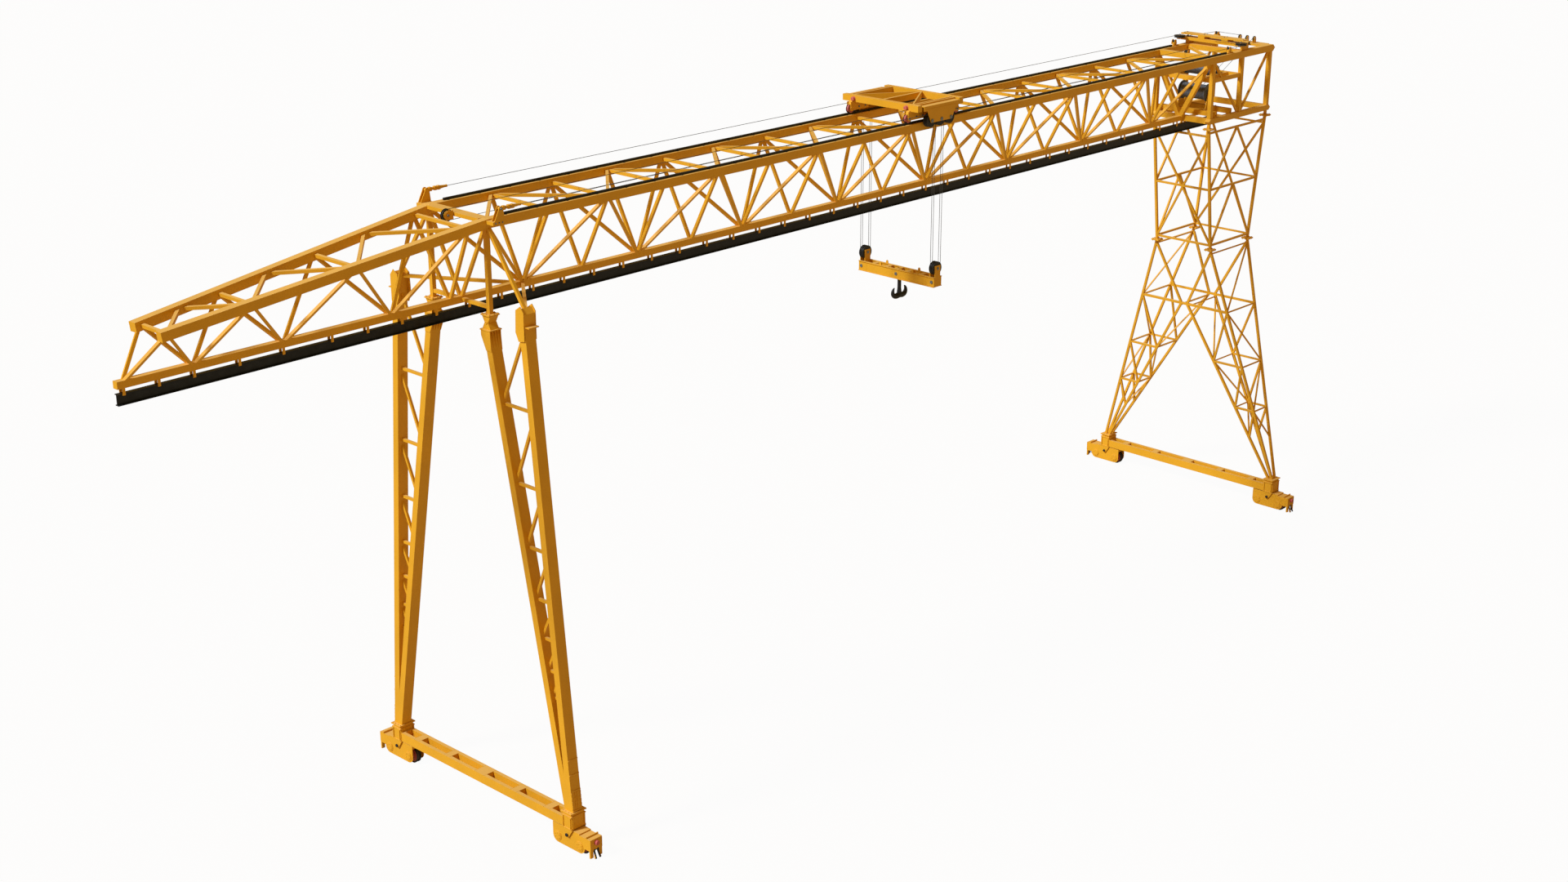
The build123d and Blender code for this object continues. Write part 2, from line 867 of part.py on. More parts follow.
def inner_chords():
    chords = []
    for sx in (-1, 1):
        for sy in (-1, 1):
            a = (tower_at + sx * foot_half_x, sy * inner_foot_half, foot_z)
            b = (tower_at + sx * lower_half(portal_z), sy * portal_mid_half, portal_z)
            chords.append(trimmed_bar(a, b, lower_chord, foot_z, portal_z))
    return chords


def tower_flanges():
    plates = []
    size = flange_size / 2
    for z, half in ((tower_mid_z, tower_mid_half), (tower_top_z, tower_top_half)):
        for sx in (-1, 1):
            for sy in (-1, 1):
                x, y = tower_at + sx * half, sy * chord_half
                plates.append(box(x - size, x + size, y - size, y + size,
                                  z - flange_plate, z + flange_plate))
    return plates


def upper_side(side):
    """Near or far face of the tower: rings and inverted V bars."""
    sign = side_sign(side)
    plane = Plane(origin=(tower_at, sign * chord_half, 0), x_dir=(1, 0, 0), z_dir=(0, -1, 0))
    top = tower_top_z - flange_size / 2
    strips = []
    for z in (top, ring_b_z, ring_a_z):
        strips.append(((-tower_half(z), z), (tower_half(z), z), tower_brace))
    for z0, z1 in ((ring_b_z, top), (ring_a_z, ring_b_z)):
        for s in (-1, 1):
            strips.append(((s * tower_half(z0), z0), (0, z1), tower_brace))
    cuts = upper_chords() + tower_flanges()
    return lattice(plane, strips, tower_brace, cuts)


def end_plane(sx, low_half, low_z, high_half, high_z):
    """The leaning plane of a tower face that runs across the crane."""
    up = Vector(sx * (high_half - low_half), 0, high_z - low_z)
    return Plane(origin=(tower_at + sx * low_half, 0, low_z), x_dir=(0, 1, 0),
                 z_dir=Vector(0, 1, 0).cross(up))


def upper_end(sx):
    """Left or right face: one cross over the whole height and three level bars."""
    plane = end_plane(sx, tower_mid_half, tower_mid_z, tower_top_half, tower_top_z)
    stretch = hypot(tower_top_half - tower_mid_half, tower_top_z - tower_mid_z)
    stretch = stretch / (tower_top_z - tower_mid_z)

    def up(z):
        return (z - tower_mid_z) * stretch

    top = monorail_top_z - monorail_height - tower_brace
    strips = [((-chord_half, up(z)), (chord_half, up(z)), tower_brace)
              for z in (top, ring_b_z, ring_a_z)]
    for s in (-1, 1):
        strips.append(((-s * chord_half, up(ring_a_z)), (s * chord_half, up(top)), tower_brace))
    return lattice(plane, strips, tower_brace, upper_chords() + tower_flanges())


def lower_end(sx):
    """Left or right face below the mid joint: V bars, portal ring and the legs' zigzags."""
    plane = end_plane(sx, foot_half_x, foot_z, tower_mid_half, tower_mid_z)
    stretch = hypot(tower_mid_half - foot_half_x, tower_mid_z - foot_z) / (tower_mid_z - foot_z)

    def spot(y, z):
        return (y, (z - foot_z) * stretch)

    strips = [(spot(-outer_y(portal_z), portal_z), spot(outer_y(portal_z), portal_z), portal_bar)]
    mid_low = tower_mid_z - flange_size / 2
    for s in (-1, 1):
        strips.append((spot(s * chord_half, mid_low),
                       spot(s * portal_mid_half, portal_z), portal_bar))
        strips.append((spot(s * outer_y(portal_z), portal_z),
                       spot(s * inner_y(ring_one_z), ring_one_z), tower_brace))
        for z, below in ((ring_one_z, ring_two_z), (ring_two_z, ring_low_z)):
            strips.append((spot(s * inner_y(z), z), spot(s * outer_y(z), z), tower_brace))
            strips.append((spot(s * outer_y(z), z), spot(s * inner_y(below), below), tower_brace))
    cuts = outer_chords() + inner_chords() + tower_flanges()
    return lattice(plane, strips, tower_brace, cuts)


def leg_face_plane(sy, low_y, high_y, high_z):
    up = Vector(0, sy * (high_y - low_y), high_z - foot_z)
    return Plane(origin=(tower_at, sy * low_y, foot_z), x_dir=(1, 0, 0),
                 z_dir=Vector(1, 0, 0).cross(up))


def lower_side(side):
    """Outer face of one leg below the mid joint: level ties and thin diagonals."""
    sign = side_sign(side)
    plane = leg_face_plane(sign, outer_foot_half, chord_half, tower_mid_z)
    stretch = hypot(outer_foot_half - chord_half, tower_mid_z - foot_z) / (tower_mid_z - foot_z)
    mid_low = tower_mid_z - flange_size / 2
    levels = [mid_low, portal_z, ring_one_z, ring_two_z]
    strips = []
    for i, z in enumerate(levels):
        up = (z - foot_z) * stretch
        strips.append(((-lower_half(z), up), (lower_half(z), up), tower_thin))
        below = levels[i + 1] if i + 1 < len(levels) else ring_low_z
        s = 1 if i % 2 == 0 else -1
        strips.append(((s * lower_half(z), up),
                       (-s * lower_half(below), (below - foot_z) * stretch), tower_slim))
    cuts = outer_chords() + tower_flanges() + [lower_end(-1), lower_end(1)]
    return lattice(plane, strips, tower_thin, cuts)


def inner_side(side):
    """Inner face of one leg below the portal ring."""
    sign = side_sign(side)
    plane = leg_face_plane(sign, inner_foot_half, portal_mid_half, portal_z)
    stretch = hypot(inner_foot_half - portal_mid_half, portal_z - foot_z) / (portal_z - foot_z)
    levels = [portal_z - lower_chord, ring_one_z, ring_two_z]
    strips = []
    for i, z in enumerate(levels):
        up = (z - foot_z) * stretch
        strips.append(((-lower_half(z), up), (lower_half(z), up), tower_thin))
        below = levels[i + 1] if i + 1 < len(levels) else ring_low_z
        s = 1 if i % 2 == 0 else -1
        strips.append(((s * lower_half(z), up),
                       (-s * lower_half(below), (below - foot_z) * stretch), tower_slim))
    cuts = inner_chords() + [lower_end(-1), lower_end(1)]
    return lattice(plane, strips, tower_thin, cuts)


# Winch house

def post_places():
    return [tower_at - tower_top_half, tower_at, tower_at + tower_top_half]


beam_low_z = bottom_chord_z - house_beam_height / 2
beam_high_z = bottom_chord_z + house_beam_height / 2
platform_z = top_chord_z - girder_depth * platform_drop_share


def house_posts():
    posts = []
    half = house_post / 2
    for x in post_places():
        for sy in (-1, 1):
            y = sy * chord_half
            posts.append(box(x - half, x + half, y - half, y + half,
                             beam_high_z, top_chord_z - top_chord_height / 2))
    return posts


def pointed_beam(y, width, left, right, low, high):
    """A long beam whose ends are cut back above and below to a point."""
    middle = (low + high) / 2
    bevel = (high - low) / 2
    outline = Polyline((left, middle), (left + bevel, low), (right - bevel, low), (right, middle),
                       (right - bevel, high), (left + bevel, high), close=True)
    plane = Plane(origin=(0, y, 0), x_dir=(1, 0, 0), z_dir=(0, -1, 0))
    return extrude(plane * make_face(outline), amount=width / 2, both=True)


def house_base():
    """The lower frame: two long beams joined by a cross beam at each end."""
    left, right = tower_at - tower_top_half - chord_overhang, leg_x + house_reach
    half = house_beam_width / 2
    inner = chord_half - half
    beams = [pointed_beam(sy * chord_half, house_beam_width, left, right, beam_low_z, beam_high_z)
             for sy in (-1, 1)]
    return beams + [box(x - half, x + half, -inner, inner, beam_low_z, beam_high_z)
                    for x in (post_places()[0], post_places()[2])]


def tower_stubs():
    """Short stools between the lower frame and the tower's top flanges."""
    stubs = []
    half = tower_chord / 2
    for sx in (-1, 1):
        for sy in (-1, 1):
            x, y = tower_at + sx * tower_top_half, sy * chord_half
            stubs.append(box(x - half, x + half, y - half, y + half,
                             tower_top_z + flange_plate, beam_low_z))
    return stubs


def house_side(side):
    """V bars from the foot of the middle post to the heads of the outer posts."""
    sign = side_sign(side)
    plane = Plane(origin=(tower_at, sign * chord_half, 0), x_dir=(1, 0, 0), z_dir=(0, -1, 0))
    strips = [((0, bottom_chord_z), (s * tower_top_half, top_chord_z), house_brace)
              for s in (-1, 1)]
    strips.append(((-tower_top_half, platform_z), (0, platform_z), platform_beam))
    return lattice(plane, strips, house_brace, house_posts() + house_base() + [top_chord(side)])


def end_brace(sy):
    """A heavy brace from the end of the bottom chord to the head of a first post."""
    x = post_places()[0] - house_post / 2 - knee_brace / 2
    start = (x, 0, bottom_chord_z)
    end = (x, sy * chord_half, top_chord_z)
    brace = bar(start, end, knee_brace, knee_brace, (1, 0, 0))
    middle = box(x - knee_brace, x + knee_brace, 0, -sy * knee_brace,
                 bottom_chord_z - knee_brace, top_chord_z)
    for cut in (bottom_chord(), top_chord("near"), top_chord("far"), *house_base(), middle):
        brace = brace - cut
    return brace - house_struts()[0]


def house_struts():
    """Cross struts between the top chords at the three pairs of posts."""
    inner = chord_half - top_chord_width / 2
    half = house_top_width / 2
    struts = [box(x - half, x + half, -inner, inner, chord_top_z - house_top_height, chord_top_z)
              for x in post_places()[:2]]
    x = post_places()[2]
    struts.append(box(x - end_plate_width * 3 / 4, x + end_plate_width / 4, -inner, inner,
                      chord_top_z - end_plate_thick, chord_top_z))
    return struts


def house_diagonal():
    """The bracing bar in the first bay of the house roof."""
    first, second = post_places()[:2]
    plane = Plane(origin=(0, 0, top_chord_z))
    strips = [((first, -chord_half), (second, chord_half), top_bar)]
    return lattice(plane, strips, top_bar, [top_chord("near"), top_chord("far")] + house_struts())


def platform_frame():
    """Cross beams of the upper platform and the two bearers of the haulage winch."""
    half = platform_beam / 2
    low, high = platform_z - half, platform_z + half
    first, second = post_places()[:2]
    reach = chord_half - house_brace / 2
    left = first + half
    right = second - house_post / 2 - half
    frame = box(left - half, left + half, -reach, reach, low, high)
    frame = frame + box(right - half, right + half, -reach, reach, low, high)
    for sy in (-1, 1):
        y = sy * (haul_drum_length / 2 + drum_stand_gap + half)
        frame = frame + box(left, right, y - half, y + half, low, high)
    return frame - house_posts()[0] - house_posts()[1]


# Winches

def drum(radius, flange_radius, length, x, z):
    """A rope drum with end flanges and a through shaft, about Y."""
    half = length / 2
    reach = half + drum_stand_gap + stand_thick
    points = [(0, 0), (radius, 0), (radius, half - drum_flange),
              (flange_radius, half - drum_flange), (flange_radius, half),
              (drum_shaft_radius, half), (drum_shaft_radius, reach), (0, reach)]
    turned = revolve(make_face(Polyline(*points, close=True)), Axis.Y)
    return Pos(x, 0, z) * (turned + mirror(turned, Plane.XZ))


def drum_stands(length, x, z, base_z, foot):
    """Two triangular bearing plates with round heads, each side of a drum."""
    stands = []
    for s in (-1, 1):
        middle = s * (length / 2 + drum_stand_gap + stand_thick / 2)
        plane = Plane(origin=(x, middle, 0), x_dir=(1, 0, 0), z_dir=(0, -1, 0))
        legs = Polyline((-foot / 2, base_z), (foot / 2, base_z), (stand_head / 2, z),
                        (-stand_head / 2, z), close=True)
        outline = make_face(legs) + Pos(0, z) * Circle(stand_head / 2)
        tall = z - base_z + stand_head
        outline = outline & Pos(0, base_z + tall / 2) * Rectangle(foot + stand_head, tall)
        outline = outline - Pos(0, z) * Circle(drum_shaft_radius + shaft_gap)
        stands.append(extrude(plane * outline, amount=stand_thick / 2, both=True))
    return stands


hoist_drum_x = tower_at - hoist_drum_inset
hoist_drum_z = beam_high_z + skid_foot + skid_height + drum_flange_radius + drum_lift
haul_drum_x = tower_at - haul_drum_inset
haul_drum_z = platform_z + platform_beam / 2 + haul_drum_lift


def trough(x0, x1, y0, y1, low, high, wall):
    """A channel lying on its back, open above."""
    beam = box(x0, x1, y0, y1, low, high)
    if abs(x1 - x0) > abs(y1 - y0):
        return beam - box(x0 - wall, x1 + wall, y0 + wall, y1 - wall, low + wall, high)
    return beam - box(x0 + wall, x1 - wall, y0 - wall, y1 + wall, low + wall, high)


def hoist_skid():
    """Two troughs across the house on feet, joined below the drum, with its bearing plates."""
    low = beam_high_z + skid_foot
    high = low + skid_height
    frame = None
    for s in (-1, 1):
        middle = hoist_drum_x + s * (skid_length - skid_member) / 2
        beam = trough(middle - skid_member / 2, middle + skid_member / 2, -skid_width / 2,
                      skid_width / 2, low, high, skid_wall)
        frame = beam if frame is None else frame + beam
    inner = skid_length / 2 - skid_member
    for sy in (-1, 1):
        y = sy * (drum_length / 2 + drum_stand_gap + stand_thick / 2)
        frame = frame + box(hoist_drum_x - inner, hoist_drum_x + inner,
                            y - stand_thick, y + stand_thick, low, high)
        for s in (-1, 1):
            x = hoist_drum_x + s * (skid_length - skid_member) / 2
            foot = sy * (skid_width - skid_member) / 2
            frame = frame + box(x - skid_member / 2, x + skid_member / 2,
                                foot - skid_member / 2, foot + skid_member / 2, beam_high_z, low)
    for stand in drum_stands(drum_length, hoist_drum_x, hoist_drum_z, high, stand_foot):
        frame = frame + stand
    return frame


def haul_stands():
    base = platform_z + platform_beam / 2
    return drum_stands(haul_drum_length, haul_drum_x, haul_drum_z, base, haul_foot)


# Rope deck on top of the house

rope_y = fall_half + fall_pitch / 2
deck_sheave_y = rope_y - deck_groove_radius - rope_radius
deck_sheave_x = tower_at - deck_sheave_back


def rope_deck():
    """Two plates with spacers between them, on stools over the chords."""
    left, right = tower_at - deck_back, tower_at + deck_front
    near, far = -chord_half - deck_near_reach, chord_half + deck_far_reach
    shelf = rope_z - deck_gap
    deck = box(left, right, near, far, deck_low_z, shelf)
    deck = deck + box(left, right, near, far, rope_z + deck_gap,
                      rope_z + deck_gap + deck_plate_thick)
    for share in spacer_shares:
        y = share * chord_half
        deck = deck + box(left, right, y - spacer_length / 2, y + spacer_length / 2,
                          shelf, rope_z + deck_gap)
    for sy in (-1, 1):
        half = top_chord_width / 2
        y = sy * chord_half
        deck = deck + box(left, right, y - deck_near_reach, y + deck_near_reach,
                          chord_top_z, deck_low_z)
        y = sy * deck_sheave_y
        thick = deck_plate_thick
        bracket = box(deck_sheave_x - 2 * deck_gap, left, y - half / 2, y + half / 2,
                      shelf - thick, shelf)
        post = rod((deck_sheave_x, y, shelf), (deck_sheave_x, y, shelf + deck_gap
                   - deck_sheave_thick / 2 - running_gap), 2 * sheave_pin_radius)
        pin = rod((deck_sheave_x, y, shelf), (deck_sheave_x, y, rope_z + deck_gap),
                  sheave_pin_radius)
        deck = deck + bracket + post + pin
    return deck


def deck_sheave(side):
    """A flat-lying grooved sheave that turns the hoist rope across the crane."""
    y = side_sign(side) * deck_sheave_y
    wheel = grooved_wheel(deck_sheave_radius, deck_groove_radius, deck_sheave_thick, 1,
                          sheave_pin_radius + shaft_gap)
    return Pos(deck_sheave_x, y, rope_z) * (Rot(90, 0, 0) * wheel)


def small_stands():
    """Three little sheaves between ears on the end plate, and a guide block at its far end."""
    x = tower_at + tower_top_half - end_plate_width / 4
    stands = []
    for i in range(3):
        y = small_start + small_pitch * i
        inner = small_sheave_width / 2
        stand = rod((x, y - inner - small_ear, chord_top_z + 2 * small_radius),
                    (x, y + inner + small_ear, chord_top_z + 2 * small_radius), small_radius)
        for s in (-1, 1):
            face = y + s * inner
            stand = stand + box(x - small_radius, x + small_radius, face, face + s * small_ear,
                                chord_top_z, chord_top_z + 2 * small_radius)
        stands.append(stand)
    far = chord_half - top_chord_width / 2
    stands.append(box(x - guide_block / 2, x + guide_block / 2, far - guide_block / 2,
                      far + guide_block / 2, chord_top_z, chord_top_z + guide_height))
    return stands


def rail_end_block(side):
    """The stop and rope guide beyond the end of one trolley rail."""
    y = side_sign(side) * chord_half
    x = tower_at - rail_end_inset
    block = box(x, x + 2 * guide_block, y - rail_width, y + rail_width,
                chord_top_z, chord_top_z + end_plate_thick / 2)
    return block + box(x + guide_block / 2, x + 3 * guide_block / 2, y - rail_width / 2,
                       y + rail_width / 2, chord_top_z, chord_top_z + guide_height)


# Rope fittings at the knee

def grooved_wheel(radius, groove_radius, width, grooves, bore_radius):
    """A sheave about Y at the origin, with round-bottomed grooves and a bore."""
    depth = radius - groove_radius
    pitch = width / grooves
    disc = Cylinder(radius, width)
    for i in range(grooves):
        middle = pitch * (i + 0.5) - width / 2
        disc = disc - Pos(0, 0, middle) * Torus(radius, depth)
    return Rot(90, 0, 0) * (disc - Cylinder(bore_radius, 2 * width))


return_x = leg_x - return_sheave_reach
return_z = top_chord_z + return_sheave_rise


def return_sheave():
    wheel = grooved_wheel(return_sheave_radius, return_groove_radius, return_sheave_width, 1,
                          sheave_pin_radius + shaft_gap)
    return Pos(return_x, 0, return_z) * wheel


def return_block():
    """Cheeks and pin that hold the return sheave on the front of the knee beam."""
    inner = return_sheave_width / 2 + running_gap
    outer = inner + cheek_thick
    back = leg_x - knee_beam_width + knee_beam_front
    high = chord_top_z
    low = high - knee_beam_height
    block = rod((return_x, -outer, return_z), (return_x, outer, return_z), sheave_pin_radius)
    plane = Plane(origin=(0, 0, 0), x_dir=(1, 0, 0), z_dir=(0, -1, 0))
    head = Pos(return_x, return_z) * Circle(return_cheek / 2)
    neck = Pos((return_x + back) / 2, (low + high) / 2) * Rectangle(back - return_x, high - low)
    for s in (-1, 1):
        middle = Pos(0, s * (inner + outer) / 2, 0)
        block = block + middle * extrude(plane * (head + neck), amount=cheek_thick / 2, both=True)
    return block


def rope_anchor(side):
    """Two tapered plates bolted beside the chord, and the link out to the rope's socket."""
    sign = side_sign(side)
    face = sign * (chord_half + top_chord_width / 2)
    x = leg_x + anchor_start
    low = top_chord_z
    bottom, top = anchor_base / 2, anchor_head / 2
    head = x + anchor_lean
    outline = make_face(Polyline((x - bottom, low), (x + bottom, low), (head + top, rope_z),
                                 (head - top, rope_z), close=True))
    outline = outline + Pos(head, rope_z) * Circle(top)
    plane = Plane(origin=(0, 0, 0), x_dir=(1, 0, 0), z_dir=(0, -1, 0))
    shape = None
    for s in (-1, 1):
        y = sign * rope_y + s * (anchor_gap + anchor_plate) / 2
        plate = Pos(0, y, 0) * extrude(plane * outline, amount=anchor_plate / 2, both=True)
        shape = plate if shape is None else shape + plate
    reach = sign * rope_y + sign * (anchor_gap / 2 + anchor_plate)
    base = box(x - bottom, x + bottom, face, reach, low, low + anchor_gap)
    link = rod((head, sign * rope_y - anchor_gap / 2, rope_z),
               (head, sign * rope_y + anchor_gap / 2, rope_z), top / 2)
    link = link + box(head, head + anchor_link, sign * rope_y - anchor_gap / 3,
                      sign * rope_y + anchor_gap / 3, rope_z - top / 2, rope_z + top / 2)
    return shape + (base - nose_chord(side)) + link


# Ropes that stay put when the trolley moves

def hoist_rope(side):
    y = side_sign(side) * rope_y
    start = leg_x + anchor_start + anchor_lean + anchor_link
    return rod((start, y, rope_z), (deck_sheave_x, y, rope_z), rope_radius)


def haul_ropes():
    """Both runs of the haulage rope, over and under the top bracing, and down to the drum."""
    lift = return_groove_radius + rope_radius
    end = post_places()[0] - house_top_width / 2 - running_gap
    ropes = []
    for s in (-1, 1):
        z = return_z + s * lift
        ropes.append(rod((return_x, 0, z), (end, 0, z), rope_radius))
    return ropes


# Trolley

trolley_wheel_z = rail_top_z + trolley_tread_radius
trolley_low_z = trolley_top_z - trolley_beam_height


def trolley_frame():
    """A flat ladder frame with a middle beam and two diagonals, grooved above as troughs."""
    half_x, half_y = trolley_length / 2, trolley_beam_half + trolley_beam_width / 2
    low, high = trolley_low_z, trolley_top_z
    x = trolley_at
    wide, thin = trolley_beam_width, trolley_mid_beam
    frame = box(x - half_x, x + half_x, -half_y, half_y, low, high)
    inner_x, inner_y = half_x - wide, half_y - wide
    frame = frame - box(x - inner_x, x + inner_x, -inner_y, inner_y, low, high)
    for s in (-1, 1):
        frame = frame + box(x + s * inner_x, x + s * half_x, -trolley_width / 2, trolley_width / 2,
                            low, high)
    plane = Plane(origin=(x, 0, low))
    outline = strip((-inner_x, 0), (inner_x, 0), thin)
    for s in (-1, 1):
        outline = outline + strip((-inner_x, s * inner_y), (inner_x, 0), thin / 2)
    inside = Pos(0, 0) * Rectangle(2 * inner_x + thin, 2 * inner_y + thin)
    frame = frame + extrude(plane * (outline & inside), amount=trolley_beam_height)
    groove = wide / 3
    for s in (-1, 1):
        frame = frame - box(x + s * (half_x - groove), x + s * (half_x - 2 * groove),
                            -half_y, half_y, high - groove, high)
        frame = frame - box(x - inner_x, x + inner_x, s * (half_y - groove),
                            s * (half_y - 2 * groove), high - groove, high)
    for s in (-1, 1):
        for sy in (-1, 1):
            face = x + s * half_x
            y = sy * trolley_buffer_half
            z = high - trolley_beam_height / 2
            frame = frame + rod((face, y, z), (face + s * trolley_buffer_length, y, z),
                                trolley_buffer_radius)
    return frame


def side_plate(side):
    """The big side plate over three sheaves, its inner plate and their pins."""
    sign = side_sign(side)
    outer = sign * trolley_plate_reach
    inner = sign * (fall_half - trolley_sheave_width / 2 - running_gap)
    beam = sign * (trolley_beam_half + trolley_beam_width / 2)
    thick = trolley_plate_thick
    x = trolley_at
    low = trolley_sheave_z - trolley_plate_drop
    top, bottom = trolley_plate_top / 2, trolley_plate_bottom / 2
    shoulder = top - trolley_plate_inset
    outline = Polyline((x - top, trolley_cap_z), (x + top, trolley_cap_z), (x + top, trolley_low_z),
                       (x + shoulder, trolley_low_z), (x + bottom, low), (x - bottom, low),
                       (x - shoulder, trolley_low_z), (x - top, trolley_low_z), close=True)
    plane = Plane(origin=(0, outer - sign * thick / 2, 0), x_dir=(1, 0, 0), z_dir=(0, -1, 0))
    shape = extrude(plane * make_face(outline), amount=thick / 2, both=True)
    shape = shape + box(x - top, x + top, beam, outer, trolley_cap_z - thick, trolley_cap_z)
    shape = shape + box(x - bottom, x + bottom, inner, inner - sign * thick, low, trolley_low_z)
    for i in (-1, 0, 1):
        centre = x + i * trolley_sheave_pitch
        shape = shape + rod((centre, inner, trolley_sheave_z), (centre, outer, trolley_sheave_z),
                            sheave_pin_radius)
    return shape


def trolley_sheaves():
    """Six rope sheaves on the pins of the side plates."""
    wheel = grooved_wheel(trolley_sheave_radius, trolley_groove_radius,
                          trolley_sheave_width, 2, sheave_pin_radius + shaft_gap)
    return [Pos(trolley_at + i * trolley_sheave_pitch, sy * fall_half, trolley_sheave_z) * wheel
            for sy in (-1, 1) for i in (-1, 0, 1)]


def wheel_box(sx, sy):
    """A pair of plates under the frame that carry one trolley wheel at their outer end."""
    x = trolley_at + sx * trolley_wheel_base / 2
    y = sy * chord_half
    low = trolley_wheel_z - 2 * trolley_axle_radius
    end = x + sx * 2 * trolley_axle_radius
    start = end - sx * trolley_box_length
    pair = None
    for s in (-1, 1):
        inner = y + s * trolley_box_gap / 2
        plate = box(start, end, inner, inner + s * trolley_box_plate, low, trolley_low_z)
        pair = plate if pair is None else pair + plate
    tie = x - sx * (trolley_wheel_radius + 4 * running_gap)
    pair = pair + box(start, tie, y - trolley_box_gap / 2, y + trolley_box_gap / 2,
                      trolley_low_z - trolley_box_plate, trolley_low_z)
    return pair - rod((x, y - trolley_box_gap, trolley_wheel_z),
                      (x, y + trolley_box_gap, trolley_wheel_z), trolley_axle_radius + shaft_gap)


def trolley_wheel(sx, sy):
    """A double-flanged trolley wheel and its axle, about Y."""
    half = trolley_wheel_width / 2
    reach = trolley_box_gap / 2 + trolley_box_plate
    web = rail_width / 2 + running_gap
    points = [(0, 0), (trolley_tread_radius, 0), (trolley_tread_radius, web),
              (trolley_wheel_radius, web), (trolley_wheel_radius, half),
              (trolley_axle_radius, half), (trolley_axle_radius, reach), (0, reach)]
    turned = revolve(make_face(Polyline(*points, close=True)), Axis.Y)
    whole = turned + mirror(turned, Plane.XZ)
    return Pos(trolley_at + sx * trolley_wheel_base / 2, sy * chord_half, trolley_wheel_z) * whole


# Hook beam and hook

hook_beam_low_z = hook_beam_top_z - hook_beam_height


def hook_beam():
    """Two flanged side channels with battens, a bearing block, and a pair of cheeks per end."""
    x = trolley_at
    half_length = hook_beam_length / 2
    half, wall, flange = hook_beam_width / 2, hook_beam_plate, hook_beam_flange
    low, high = hook_beam_low_z, hook_beam_top_z
    beam = None
    for s in (-1, 1):
        channel = box(x + s * (half - flange), x + s * half, -half_length, half_length, low, high)
        channel = channel - box(x + s * (half - flange), x + s * (half - flange / 2 - wall / 2),
                                -half_length, half_length, low + wall, high - wall)
        channel = channel - box(x + s * (half - flange / 2 + wall / 2), x + s * half,
                                -half_length, half_length, low + wall, high - wall)
        beam = channel if beam is None else beam + channel
    web = half - flange / 2
    for share in batten_shares:
        y = half_length * share
        beam = beam + box(x - web, x + web, y - batten_width / 2, y + batten_width / 2,
                          high - wall, high)
    block = box(x - web, x + web, -bearing_block, bearing_block, low, low + bearing_block)
    beam = beam + block - rod((x, 0, low), (x, 0, high), shank_radius + shaft_gap)
    for sy in (-1, 1):
        y = sy * fall_half
        gap = sheave_width / 2 + running_gap
        for s in (-1, 1):
            plane = Plane(origin=(x, y + s * (gap + cheek_thick / 2), 0), x_dir=(1, 0, 0),
                          z_dir=(0, -1, 0))
            plate = Pos(0, (low + sheave_z) / 2) * Rectangle(cheek_width, sheave_z - low)
            plate = plate + Pos(0, sheave_z) * Rectangle(cheek_width, cheek_width - flange)
            web_gap = 2 * web - wall
            foot = Pos(0, (low + high) / 2) * Rectangle(web_gap, high - low)
            outline = plate + foot
            beam = beam + extrude(plane * outline, amount=cheek_thick / 2, both=True)
        reach = gap + cheek_thick
        beam = beam + rod((x, y - reach, sheave_z), (x, y + reach, sheave_z), sheave_pin_radius)
    return beam


def beam_sheave(side):
    wheel = grooved_wheel(sheave_radius, sheave_groove_radius, sheave_width, 2,
                          sheave_pin_radius + shaft_gap)
    return Pos(trolley_at, side_sign(side) * fall_half, sheave_z) * wheel


def ramshorn_hook():
    """A shank with a collar above the bearing block and a double hook spread along X."""
    x = trolley_at
    plane = Plane(origin=(x, 0, hook_low_z), x_dir=(1, 0, 0), z_dir=(0, -1, 0))
    outline = Pos(0, horn_outer) * Rectangle(2 * shank_radius, 2 * horn_outer)
    for s in (-1, 1):
        outline = outline + Pos(s * horn_half, horn_outer) * Circle(horn_outer)
    outline = outline + Pos(0, horn_outer / 2) * Rectangle(2 * horn_half, horn_outer)
    for s in (-1, 1):
        opening = Pos(s * horn_opening_x, horn_opening_z) * Circle(horn_inner)
        mouth = Pos(s * (shank_radius + horn_tip_x) / 2, horn_opening_z + horn_outer) * Rectangle(
            horn_tip_x - shank_radius, 2 * horn_outer)
        outline = outline - opening - mouth
    bowls = extrude(plane * outline, amount=hook_thick / 2, both=True)
    top = hook_beam_low_z + bearing_block
    shank = rod((x, 0, hook_low_z + horn_outer), (x, 0, top + running_gap), shank_radius)
    collar = rod((x, 0, top + shaft_gap), (x, 0, top + shank_collar), 1.5 * shank_radius)
    return bowls + shank + collar


def rope_falls():
    """Four falls at each end, between the trolley's sheaves and the hook beam's."""
    falls = []
    reach = sheave_groove_radius + rope_radius
    for sy in (-1, 1):
        for sx in (-1, 1):
            for k in (-1, 1):
                x, y = trolley_at + sx * reach, sy * fall_half + k * fall_pitch / 2
                falls.append(rod((x, y, sheave_z), (x, y, trolley_sheave_z), rope_radius))
    return falls


